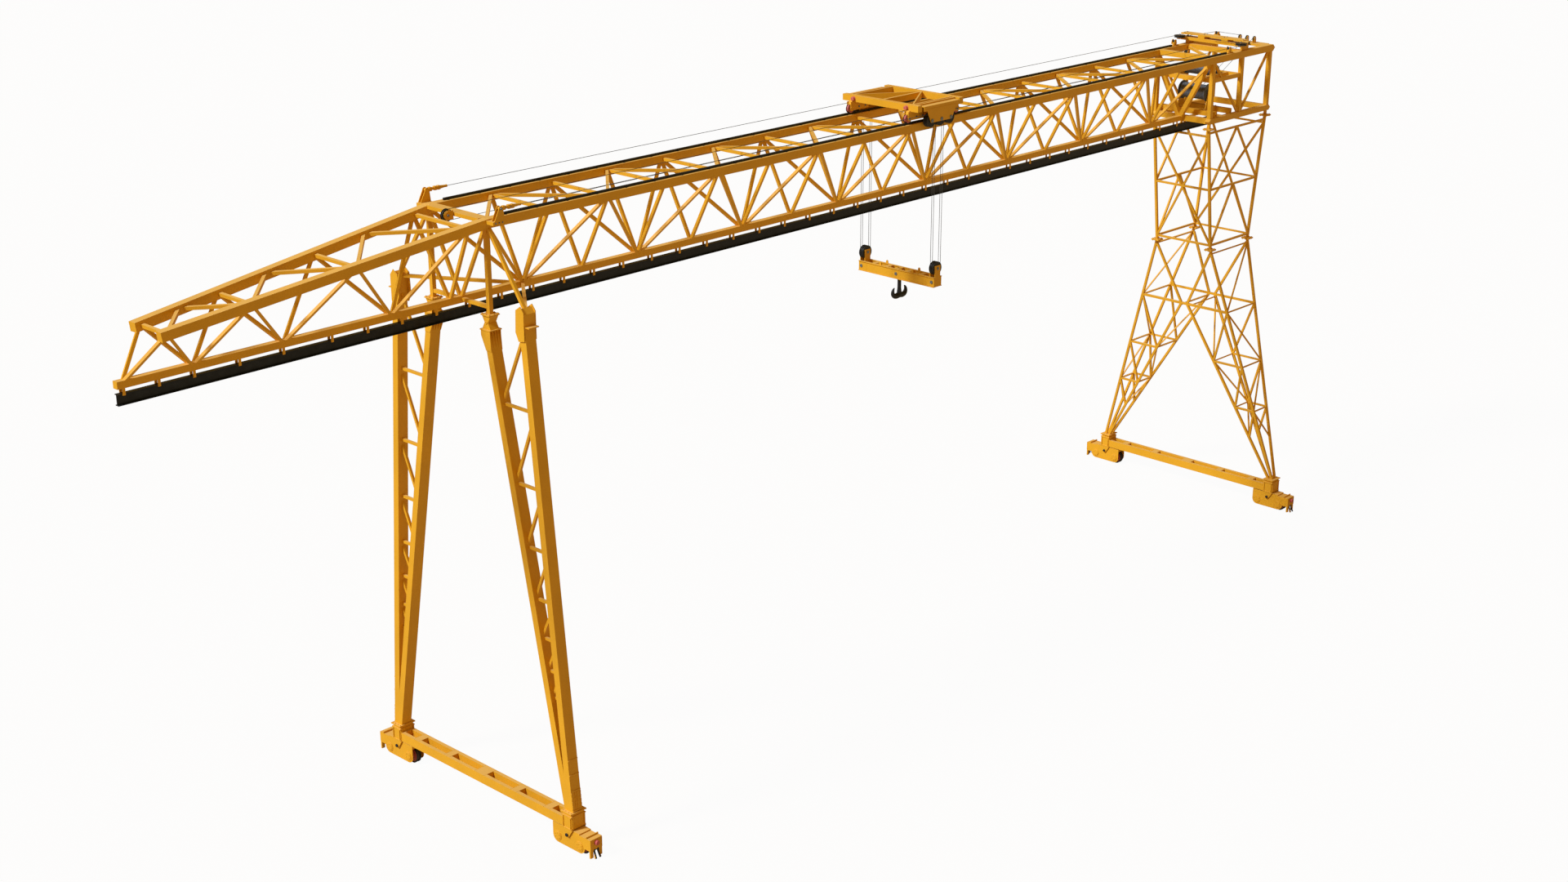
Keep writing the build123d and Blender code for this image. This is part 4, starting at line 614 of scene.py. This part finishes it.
BOGIE_END = FOOT_Y + 0.721
BOGIE_BUFFER = ((0.060, 0), (0.060, 0.012), (0.052, 0.020), (0.056, 0.058), (0.050, 0.0685),
                (0.034, 0.0725), (0, 0.0725))
BOGIE_BUFFER_Z = 0.345 + 0.045
AXLE_Y, AXLE_Z = 0.36, 0.21
AXLE_CAP = ((0.100, 0), (0.100, 0.006), (0.090, 0.010), (0, 0.010))
AXLE_CAP_FACE, AXLE_BOLT_FACE, AXLE_BOLT_RING = 0.182, 0.192, 0.070
# One prong of the tongs: half the gap to the other, reach past the end box, height
PRONG = ((0.050, -0.020, 0.215), (0.052, 0.002, 0.150), (0.056, 0.032, 0.085),
         (0.060, 0.060, 0.026))


class CRANE_OT_bogies(CraneOperator):
    """Add buffers, tongs, axle caps, trim and bolts to the four bogies"""
    bl_idname = "crane.bogies"
    bl_label = "Bogies"

    def execute(self, context):
        for end, x in (("leg", LEG), ("tower", TOWER)):
            for side, sy in (("near", -1), ("far", 1)):
                name, tip = end + "_" + side, sy * BOGIE_END
                bm = bmesh.new()
                add_lathe(bm, BOGIE_BUFFER, (x, tip, BOGIE_BUFFER_Z), (0, sy, 0), 24)
                make_piece("buffer_" + name, bm, "red", "bogie_" + name)
                self.tongs(name, x, sy, tip)
                self.trim(name, x, sy, tip)
                self.axle_bolts(name, x, sy)
        return {"FINISHED"}

    def tongs(self, name, x, sy, tip):
        """Two prongs that lean outwards from a cross pin on the end box."""
        hinge, _, z = PRONG[0]
        bm = bmesh.new()
        for s in BOTH:
            path = smooth_path([(x + s * gap, tip + sy * reach, height)
                                for gap, reach, height in PRONG], 5)
            add_tube(bm, path, [0.021] * len(path), 12)
            add_rod(bm, (x + s * hinge, tip - sy * 0.035, z), (x + s * hinge, tip + sy * 0.004, z),
                    0.026, 14)
        add_rod(bm, (x - 0.065, tip - sy * 0.014, z), (x + 0.065, tip - sy * 0.014, z), 0.018, 14)
        make_piece("rail_tongs_" + name, bm, "black", "bogie_" + name, edge=False)

    def trim(self, name, x, sy, tip):
        """Axle caps, a raised rib and a thin lip on the end box, and strips down its end."""
        bm = bmesh.new()
        for s, k in CORNERS:
            add_lathe(bm, AXLE_CAP, (x + s * AXLE_CAP_FACE, sy * FOOT_Y + k * AXLE_Y, AXLE_Z),
                      (s, 0, 0), 32)
        add_box(bm, (x - 0.178, tip - sy * 0.150, 0.480), (x + 0.178, tip - sy * 0.122, 0.526))
        add_box(bm, (x - 0.176, tip - sy * 0.122, 0.480), (x + 0.176, tip + sy * 0.003, 0.488))
        for s in BOTH:
            add_box(bm, (x + s * 0.160, tip, 0.23), (x + s * 0.172, tip + sy * 0.008, 0.47))
        make_piece("bogie_trim_" + name, bm, "paint", "bogie_" + name)

    def axle_bolts(self, name, x, sy):
        """Six bolts on each axle cap."""
        bm = bmesh.new()
        for s, k in CORNERS:
            for a in range(6):
                turn = radians(60 * a + 30)
                add_bolt(bm, (x + s * AXLE_BOLT_FACE,
                              sy * FOOT_Y + k * AXLE_Y + AXLE_BOLT_RING * cos(turn),
                              AXLE_Z + AXLE_BOLT_RING * sin(turn)), (s, 0, 0), 0.009)
        make_piece("bogie_bolts_" + name, bm, "paint", "bogie_" + name, edge=False)


class CRANE_OT_saddles(CraneOperator):
    """Add ribs, seams, pin heads and bolts to the saddles and sill beams"""
    bl_idname = "crane.saddles"
    bl_label = "Saddles"

    def execute(self, context):
        ribs, pins, bolts = bmesh.new(), bmesh.new(), bmesh.new()
        bolt = context.scene.crane_sizes.flange_bolt * 0.7
        rib, rib_low, rib_high = 0.009, 0.555, 0.83
        pin_face = 0.170 + 0.012 + 0.005 + 0.04
        for x in (LEG, TOWER):
            for sy in BOTH:
                y = sy * FOOT_Y
                for s in BOTH:
                    for k in (-0.17, 0.17):
                        add_box(ribs, (x + k - rib, y + s * 0.150, rib_low),
                                (x + k + rib, y + s * 0.168, rib_high))
                    for k in (-0.12, 0.12):
                        add_box(ribs, (x + s * 0.200, y + k - rib, rib_low),
                                (x + s * 0.222, y + k + rib, rib_high))
                    add_pin_head(pins, (x + s * pin_face, y, 0.380), (s, 0, 0), 0.040)
                    for k in (-0.14, -0.05, 0.14, 0.05):
                        add_bolt(bolts, (x + s * 0.19, y + k, FOOT_TOP), (0, 0, 1), bolt)
            # Seams where the sill's battens meet its long edges
            for s in BOTH:
                for k in (0.175, 1.115, 1.315, 2.255, 2.455):
                    add_box(ribs, (x - 0.184, s * k - 0.003, 0.7600),
                            (x + 0.184, s * k + 0.003, 0.7625))
        make_piece("saddle_ribs", ribs, "paint", "crane")
        make_piece("pivot_pin_heads", pins, "black", "crane", edge=False)
        make_piece("saddle_bolts", bolts, "paint", "crane", edge=False)
        return {"FINISHED"}


# Legs and knee

CAP_TOP, CAP_LIP, CAP_FOOT = 11.535, 11.42, 11.10  # ribbed cap of the inner column
CAP_HALF, CAP_FLARE, COLUMN_HALF = 0.150, 0.062, 0.088
INNER_LEAN = 0.2  # the inner column moves out this much for each metre down
OUTER_HEAD_Y, OUTER_HEAD_Z, FOOT_HALF = 2.149, 11.85, 0.135


class CRANE_OT_legs(CraneOperator):
    """Add ribbed caps, hinge pins, flange bolts and foot strips to the flexible leg"""
    bl_idname = "crane.legs"
    bl_label = "Flexible Leg"

    def execute(self, context):
        plates, bolts, pins = bmesh.new(), bmesh.new(), bmesh.new()
        bolt = context.scene.crane_sizes.flange_bolt
        spots = (-0.115, 0.0, 0.115)
        for sy in BOTH:
            inner = sy * CHORD_Y
            self.ribbed_cap(plates, inner, sy * INNER_LEAN * (CAP_TOP - CAP_FOOT))
            for s in BOTH:
                add_pin_head(pins, (LEG + s * 0.1135, inner, 11.709), (s, 0, 0), 0.034)
            for a in spots:
                for b in spots:
                    if a or b:
                        add_bolt(bolts, (LEG + a, inner + b, 11.883), (0, 0, 1), bolt)
            self.foot_strips(plates, sy)
        make_piece("leg_plates", plates, "paint", "crane")
        make_piece("leg_bolts", bolts, "paint", "crane", edge=False)
        make_piece("hinge_pins", pins, "paint", "crane", edge=False)
        return {"FINISHED"}

    def ribbed_cap(self, bm, inner, lean):
        """Ribs and side plates under the hinge, down to the leaning column."""
        for s in BOTH:
            face = inner + s * COLUMN_HALF
            rib = [(face, CAP_TOP), (face + s * CAP_FLARE, CAP_TOP),
                   (face + s * CAP_FLARE, CAP_LIP), (face + lean, CAP_FOOT)]
            for k in range(5):
                add_prism(bm, rib, facing_x(LEG - 0.14 + 0.07 * k), 0.012)
            side = [(inner - CAP_HALF, CAP_TOP), (inner + CAP_HALF, CAP_TOP),
                    (inner + CAP_HALF, CAP_LIP), (inner + COLUMN_HALF + lean, CAP_FOOT),
                    (inner - COLUMN_HALF + lean, CAP_FOOT), (inner - CAP_HALF, CAP_LIP)]
            add_prism(bm, side, facing_x(LEG + s * 0.146), 0.012)

    def foot_strips(self, bm, sy):
        """Thin raised strips on the foot's outer face, which lean with the column."""
        lean = (OUTER_HEAD_Y + 0.09 - FOOT_Y - FOOT_HALF) / (OUTER_HEAD_Z - FOOT_TOP)

        def face(z):
            return sy * (FOOT_Y + FOOT_HALF + lean * (z - FOOT_TOP))

        for low, high, left in ((0.955, 0.985, -0.137), (1.42, 1.445, -0.10),
                                (1.80, 1.825, -0.137), (2.15, 2.175, -0.137)):
            middle = face((low + high) / 2)
            add_box(bm, (LEG + left, middle - sy * 0.004, low),
                    (LEG + 0.137, middle + sy * 0.014, high))
        for x in (-0.125, -0.03, 0.03, 0.125):
            for z in (1.0, 1.1, 1.2, 1.3):
                middle = face(z + 0.05)
                add_box(bm, (LEG + x - 0.010, middle - sy * 0.006, z),
                        (LEG + x + 0.010, middle + sy * 0.012, z + 0.1))


class CRANE_OT_knee(CraneOperator):
    """Add bolts and fittings at the anchors and the return sheave"""
    bl_idname = "crane.knee"
    bl_label = "Knee Fittings"

    def execute(self, context):
        bolts, plates = bmesh.new(), bmesh.new()
        for sy in BOTH:
            outer = sy * (ROPE_Y + 0.037 + 0.016)
            for x in (0.0, 0.09, 0.18):
                add_bolt(bolts, (LEG + x, outer, 13.875), (0, sy, 0), 0.013)
            add_pin_head(bolts, (LEG + 0.155, outer, ROPE_Z), (0, sy, 0), 0.026)
            # Links from the anchor to the rope's socket
            for x in (0.29, 0.43):
                add_bolt(bolts, (LEG + x, sy * (ROPE_Y + 0.0247), ROPE_Z), (0, sy, 0), 0.013)
            for x in (0.26, 0.40, 0.49):
                add_box(plates, (LEG + x - 0.035, sy * ROPE_Y - 0.036, ROPE_Z - 0.044),
                        (LEG + x + 0.035, sy * ROPE_Y + 0.036, ROPE_Z + 0.044))
        # Cheek plates, pin heads and stand of the return sheave
        cheek = ((-0.050, -0.098), (0.138, -0.098), (0.138, 0.092), (-0.020, 0.092),
                 (-0.070, 0.040), (-0.070, -0.070))
        for s in BOTH:
            add_pin_head(bolts, (RETURN.x, s * 0.0625, RETURN.z), (0, s, 0), 0.030)
            add_prism(plates, [(RETURN.x + x, RETURN.z + z) for x, z in cheek],
                      facing_y(s * 0.0575), 0.010)
        add_box(plates, (RETURN.x + 0.03, -0.045, CHORD_TOP),
                (RETURN.x + 0.07, 0.045, CHORD_TOP + 0.075))
        make_piece("knee_bolts", bolts, "bolt", "crane", edge=False)
        make_piece("knee_plates", plates, "paint", "crane")
        return {"FINISHED"}


# Tower

class CRANE_OT_tower(CraneOperator):
    """Bolt the flanges of the rigid tower"""
    bl_idname = "crane.tower"
    bl_label = "Tower Bolts"

    def execute(self, context):
        bolts = bmesh.new()
        bolt = context.scene.crane_sizes.flange_bolt
        spots, face = (-0.095, 0.0, 0.095), 0.02
        # A flange of the lower joint has eight bolts a side, one of the upper joint has four
        for z, half, eight in ((8.039, 1.026, True), (11.790, 1.531, False)):
            for sx, sy in CORNERS:
                x, y = TOWER + sx * half, sy * CHORD_Y
                for a in spots:
                    for b in spots:
                        if a and b or (eight and (a or b)):
                            add_bolt(bolts, (x + a, y + b, z + face), (0, 0, 1), bolt)
                            add_bolt(bolts, (x + a, y + b, z - face), (0, 0, -1), bolt)
        make_piece("tower_flange_bolts", bolts, "paint", "crane", edge=False)
        return {"FINISHED"}


# Trolley

TROLLEY_BUFFER = ((0.058, 0), (0.058, 0.012), (0.050, 0.018), (0.050, 0.045), (0.055, 0.055),
                  (0.052, 0.067), (0.034, 0.073), (0, 0.073))
WHEEL_CAP = ((0.062, 0), (0.062, 0.006), (0.054, 0.010), (0, 0.010))
# Bracket beside a buffer, over the wheel: distance from the frame's end, height
BRACKET = ((0, 14.285), (0.035, 14.285), (0.085, 14.21), (0.085, 14.15), (0, 14.15))


class CRANE_OT_trolley(CraneOperator):
    """Add buffers, brackets, pin heads and wheel caps to the trolley"""
    bl_idname = "crane.trolley"
    bl_label = "Trolley Fittings"

    def execute(self, context):
        pin = context.scene.crane_sizes.pin_head
        bolts, plates, red = bmesh.new(), bmesh.new(), bmesh.new()
        side_y, rim_y, truck = 1.295, 1.301, 0.071
        for sy in BOTH:
            for k in (-1, 0, 1):
                add_pin_head(bolts, (TROLLEY + k * 0.366, sy * side_y, 13.998), (0, sy, 0), pin)
            # Rim along the side plate's upper edge
            add_box(plates, (TROLLEY - 0.60, sy * side_y, 14.300),
                    (TROLLEY + 0.60, sy * rim_y, 14.312))
        for sx, sy in CORNERS:
            face = TROLLEY + sx * 0.881
            add_lathe(red, TROLLEY_BUFFER, (face, sy * 0.880, 14.342), (sx, 0, 0), 24)
            add_prism(plates, [(face + sx * x, z) for x, z in BRACKET],
                      facing_y(sy * CHORD_Y - 0.010), 0.095)
            wheel = joint_at("trolley_wheel_%s_%s_turn" % ("left" if sx < 0 else "right",
                                                           "near" if sy < 0 else "far"))
            add_pin_head(bolts, (wheel.x, wheel.y + sy * truck, wheel.z), (0, sy, 0), 0.030)
            for k in (0.26, 0.50):
                for s in BOTH:
                    add_pin_head(bolts, (wheel.x - sx * k, wheel.y + s * truck, wheel.z + 0.03),
                                 (0, s, 0), 0.024)
            for s in BOTH:
                y = wheel.y + s * truck
                add_lathe(plates, WHEEL_CAP, (wheel.x, y - s * 0.002, wheel.z), (0, s, 0), 26)
        make_piece("trolley_pin_heads", bolts, "bolt", "trolley", edge=False)
        make_piece("trolley_trim", plates, "paint", "trolley")
        make_piece("trolley_buffers", red, "red", "trolley", edge=False)
        return {"FINISHED"}


class CRANE_OT_hook_beam(CraneOperator):
    """Add pin heads, lugs and seams to the hook beam"""
    bl_idname = "crane.hook_beam"
    bl_label = "Hook Beam Fittings"

    def execute(self, context):
        low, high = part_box("hook_beam")[0].z, 9.895
        bolts, plates = bmesh.new(), bmesh.new()
        lug_x = 0.1375
        web = lug_x + 0.008
        pin_y = 0.065 + 0.005 + 0.016
        # Lug: distance from its middle, height over the beam's top
        lug = ((-0.045, 0), (0.045, 0), (0.030, 0.070), (0, 0.088), (-0.030, 0.070))
        for s in BOTH:
            for y in (-1.205, 0.0, 1.205):
                add_pin_head(bolts, (TROLLEY + s * web, y, (low + high) / 2), (s, 0, 0), 0.044)
            for y in (-1.02, 0.14, 1.02):
                add_box(plates, (TROLLEY + s * (web - 0.002), y - 0.004, low + 0.018),
                        (TROLLEY + s * (web + 0.003), y + 0.004, high - 0.018))
            for y in (-0.55, 0.55):
                add_prism(plates, [(y + across, high + up) for across, up in lug],
                          facing_x(TROLLEY + s * lug_x), 0.016)
        for sy, s in CORNERS:
            add_pin_head(bolts, (TROLLEY, sy * HOOK_SHEAVE_Y + s * pin_y, HOOK_SHEAVE_Z),
                         (0, s, 0), 0.040)
        make_piece("hook_beam_pin_heads", bolts, "bolt", "hook_beam", edge=False)
        make_piece("hook_beam_trim", plates, "paint", "hook_beam")
        return {"FINISHED"}


# Winches and rope deck

BEARING_CAP = ((0.088, 0), (0.088, 0.035), (0.080, 0.045), (0, 0.045))
BEARING_BOLT_RING = 0.066
# One turn of rope on a drum: share of the pitch, rise over the drum
WINDING = ((0.0, 0.001), (0.25, 0.006), (0.5, 0.008), (0.75, 0.006))
SMALL_SHEAVE = ((0, -0.0155), (0.078, -0.0155), (0.078, -0.010), (0.062, 0.0), (0.078, 0.010),
                (0.078, 0.0155), (0, 0.0155))
# Jaw plate: distance from the tower's middle, distance from the deck sheave's middle
JAW = ((-0.10, -0.10), (0.10, -0.10), (0.13, -0.06), (0.13, 0.08), (-0.10, 0.08))


class CRANE_OT_winches(CraneOperator):
    """Wind the drums and add bearing caps and bolts"""
    bl_idname = "crane.winches"
    bl_label = "Winches"

    def execute(self, context):
        for name, at, radius, half, pitch in (("hoist", HOIST_DRUM, 0.215, 0.425, 0.025),
                                              ("haulage", HAUL_DRUM, 0.150, 0.470, 0.024)):
            profile = [(0, -half)]
            for k in range(int(2 * half / pitch)):
                y = -half + pitch * k
                profile += [(radius + rise, y + pitch * share) for share, rise in WINDING]
            profile += [(radius + 0.001, half), (0, half)]
            bm = bmesh.new()
            add_lathe(bm, profile, at, (0, 1, 0), 40)
            make_piece(name + "_drum_winding", bm, "drum", name + "_drum", edge=False, smooth=True)
        bolts, caps = bmesh.new(), bmesh.new()
        for at, length in ((HOIST_DRUM, 0.910), (HAUL_DRUM, 1.000)):
            for s in BOTH:
                face = s * (length / 2 + 0.015 + 0.030)
                add_lathe(caps, BEARING_CAP, (at.x, face, at.z), (0, s, 0), 28)
                for a in range(6):
                    turn = radians(60 * a)
                    add_bolt(bolts, (at.x + BEARING_BOLT_RING * cos(turn), face + s * 0.045,
                                     at.z + BEARING_BOLT_RING * sin(turn)), (0, s, 0), 0.008)
        make_piece("drum_bearing_caps", caps, "black", "crane")
        make_piece("drum_bearing_bolts", bolts, "bolt", "crane", edge=False)
        return {"FINISHED"}


class CRANE_OT_rope_deck(CraneOperator):
    """Add the small sheaves, the rope guides and bolts on top of the winch house"""
    bl_idname = "crane.rope_deck"
    bl_label = "Rope Deck"

    def execute(self, context):
        black, bolts = bmesh.new(), bmesh.new()
        x, z = SMALL_SHEAVE_X, SMALL_SHEAVE_Z
        for y in SMALL_SHEAVE_Y:
            add_lathe(black, SMALL_SHEAVE, (x, y, z), (0, 1, 0), 28)
            for s in BOTH:
                add_bolt(bolts, (x, y + s * 0.031, z), (0, s, 0), 0.016)
        make_piece("small_rope_sheaves", black, "black", "crane", edge=False)
        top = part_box("rope_deck")[1].z
        for y in (-0.95, -0.30, 0.40, 1.10):
            for k in (0.02, 0.18):
                add_bolt(bolts, (TOWER + k, y, top), (0, 0, 1), 0.014)
        for sy in BOTH:
            add_bolt(bolts, (DECK_SHEAVE_X, sy * DECK_SHEAVE_Y, ROPE_Z + 0.04), (0, 0, 1), 0.022)
        make_piece("rope_deck_bolts", bolts, "bolt", "crane", edge=False)
        self.guides()
        return {"FINISHED"}

    def guides(self):
        """Eared guides, the deck sheaves' jaws and the roller on the house's first beam."""
        plates, rollers = bmesh.new(), bmesh.new()
        # Beyond the rails' ends and on the far chord
        rail_end, foot, z = TOWER - 0.74, CHORD_TOP + 0.060, CHORD_TOP + 0.150
        for x, y in ((rail_end, CHORD_Y), (rail_end, -CHORD_Y), (SMALL_SHEAVE_X, FAR_GUIDE_Y)):
            for s in BOTH:
                add_prism(plates, ear_outline(x, foot, z, 0.050, 0.075), facing_y(y + s * 0.050),
                          0.014)
            add_rod(rollers, (x, y - 0.043, z), (x, y + 0.043, z), 0.034, 20)
        x = TOWER + 0.09
        for y in (-DECK_SHEAVE_Y, DECK_SHEAVE_Y):
            for z in (ROPE_Z - 0.050, ROPE_Z + 0.046):
                add_prism(plates, [(TOWER + u, y + v) for u, v in JAW],
                          Matrix.Translation((0, 0, z)), 0.016)
            add_rod(rollers, (x, y - 0.05, ROPE_Z - 0.06), (x, y - 0.05, ROPE_Z + 0.06), 0.022, 16)
        x, beam = HOUSE_ROLLER_X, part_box("house_cross_beams")[1].z
        z = beam + 0.035
        add_rod(rollers, (x, -0.055, z), (x, 0.055, z), 0.034, 20)
        for s in BOTH:
            add_prism(plates, ear_outline(x, beam, z, 0.040, 0.050), facing_y(s * 0.062), 0.012)
        make_piece("rope_guides", plates, "paint", "crane")
        make_piece("rope_guide_rollers", rollers, "black", "crane", edge=False)


class CRANE_OT_rail_clips(CraneOperator):
    """Clip the trolley rails down along both chords"""
    bl_idname = "crane.rail_clips"
    bl_label = "Rail Clips"

    def execute(self, context):
        bm = bmesh.new()
        start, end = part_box("trolley_rails")[0].x + 0.1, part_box("trolley_rails")[1].x - 0.1
        count = int((end - start) / context.scene.crane_sizes.clip_pitch)
        for sy in BOTH:
            for k in range(count + 1):
                x = start + (end - start) * k / count
                for s in BOTH:
                    y = sy * CHORD_Y + s * 0.025
                    add_box(bm, (x - 0.022, y, CHORD_TOP), (x + 0.022, y + s * 0.034,
                                                            CHORD_TOP + 0.010))
                    add_rod(bm, (x, y + s * 0.020, CHORD_TOP + 0.010),
                            (x, y + s * 0.020, CHORD_TOP + 0.020), 0.009, 6)
        make_piece("rail_clips", bm, "rail", "crane", edge=False)
        return {"FINISHED"}


# Stage

FLOOR_HALF, FLOOR_COLOUR = 1400, (0.55, 0.45, 0.32, 1)
FLOOR_WHITE = 0.96  # share of white that the camera sees in the floor
LAMP_COLOUR, LAMP_AIM = (0.96, 0.99, 1.0), (0.70, -0.22, -0.68)
CAMERA_AIM = (0.68269, 0.64920, -0.33536)


class CRANE_OT_stage(CraneOperator):
    """Set the floor, the lights and the camera"""
    bl_idname = "crane.stage"
    bl_label = "Stage"

    def execute(self, context):
        settings = context.scene.crane_stage
        self.floor(context)
        self.sky(context, settings)
        lamp = bpy.data.lights.new("Key Light", "SUN")
        lamp.energy = settings.sun
        lamp.angle = radians(12)
        lamp.color = LAMP_COLOUR
        key = bpy.data.objects.new("Key Light", lamp)
        key.rotation_euler = Vector(LAMP_AIM).to_track_quat("-Z", "Y").to_euler()
        context.scene.collection.objects.link(key)
        self.camera(context, settings)
        context.scene.view_settings.view_transform = "Standard"
        return {"FINISHED"}

    def floor(self, context):
        bm = bmesh.new()
        bmesh.ops.create_grid(bm, x_segments=1, y_segments=1, size=FLOOR_HALF)
        mesh = bpy.data.meshes.new("Floor")
        bm.to_mesh(mesh)
        bm.free()
        floor = bpy.data.objects.new("Floor", mesh)
        context.scene.collection.objects.link(floor)
        material = bpy.data.materials.new("Pale Floor")
        material.use_nodes = True
        tree = material.node_tree
        tree.nodes.remove(tree.nodes["Principled BSDF"])
        diffuse = add_node(tree, "ShaderNodeBsdfDiffuse", 0, {"Color": FLOOR_COLOUR})
        glow = add_node(tree, "ShaderNodeEmission", 0, {"Strength": 1})
        ray = add_node(tree, "ShaderNodeLightPath", "Is Camera Ray", {})
        share = add_node(tree, "ShaderNodeMath", 0, {0: ray, 1: FLOOR_WHITE},
                         operation="MULTIPLY")
        both = add_node(tree, "ShaderNodeMixShader", 0, {"Fac": share, 1: diffuse, 2: glow})
        feed(tree, tree.nodes["Material Output"], {"Surface": both})
        mesh.materials.append(material)

    def sky(self, context, settings):
        world = bpy.data.worlds.new("Soft Studio")
        context.scene.world = world
        world.use_nodes = True
        tree = world.node_tree
        soft = tree.nodes["Background"]
        feed(tree, soft, {"Color": (*settings.sky_colour, 1), "Strength": settings.sky})
        white = add_node(tree, "ShaderNodeBackground", 0, {"Color": (1, 1, 1, 1)})
        ray = add_node(tree, "ShaderNodeLightPath", "Is Camera Ray", {})
        both = add_node(tree, "ShaderNodeMixShader", 0, {"Fac": ray, 1: soft.outputs[0], 2: white})
        feed(tree, tree.nodes["World Output"], {"Surface": both})

    def camera(self, context, settings):
        lens = bpy.data.cameras.new("Photo Camera")
        lens.lens = settings.lens
        lens.sensor_width = 36
        lens.clip_end = 2000
        camera = bpy.data.objects.new("Photo Camera", lens)
        forward = Vector(CAMERA_AIM).normalized()
        right = forward.cross(Vector((0, 0, 1))).normalized()
        up = right.cross(forward)
        turn = Matrix((right, up, -forward)).transposed().to_4x4()
        camera.matrix_world = Matrix.Translation(Vector(settings.eye)) @ turn
        context.scene.collection.objects.link(camera)
        context.scene.camera = camera


OPERATORS = (CRANE_OT_stage, CRANE_OT_finishes, CRANE_OT_ropes, CRANE_OT_hook, CRANE_OT_bogies,
             CRANE_OT_saddles, CRANE_OT_legs, CRANE_OT_knee, CRANE_OT_tower, CRANE_OT_trolley,
             CRANE_OT_hook_beam, CRANE_OT_winches, CRANE_OT_rope_deck, CRANE_OT_rail_clips)


class VIEW3D_PT_crane(Panel):
    """Buttons and settings for the crane's dressing"""
    bl_label = "Gantry Crane"
    bl_space_type = "VIEW_3D"
    bl_region_type = "UI"
    bl_category = "Crane"

    def draw(self, context):
        for operator in OPERATORS:
            self.layout.operator(operator.bl_idname)
        for group in (context.scene.crane_colours, context.scene.crane_sizes,
                      context.scene.crane_stage):
            for name in group.__annotations__:
                self.layout.prop(group, name)


CLASSES = (CraneColours, CraneSizes, CraneStage, *OPERATORS, VIEW3D_PT_crane)


def register():
    for cls in CLASSES:
        bpy.utils.register_class(cls)
    bpy.types.Scene.crane_colours = PointerProperty(type=CraneColours)
    bpy.types.Scene.crane_sizes = PointerProperty(type=CraneSizes)
    bpy.types.Scene.crane_stage = PointerProperty(type=CraneStage)


def unregister():
    del bpy.types.Scene.crane_stage
    del bpy.types.Scene.crane_sizes
    del bpy.types.Scene.crane_colours
    for cls in reversed(CLASSES):
        bpy.utils.unregister_class(cls)


def main():
    register()
    for operator in OPERATORS:
        group, name = operator.bl_idname.split(".")
        getattr(getattr(bpy.ops, group), name)()


if __name__ == "__main__":
    main()
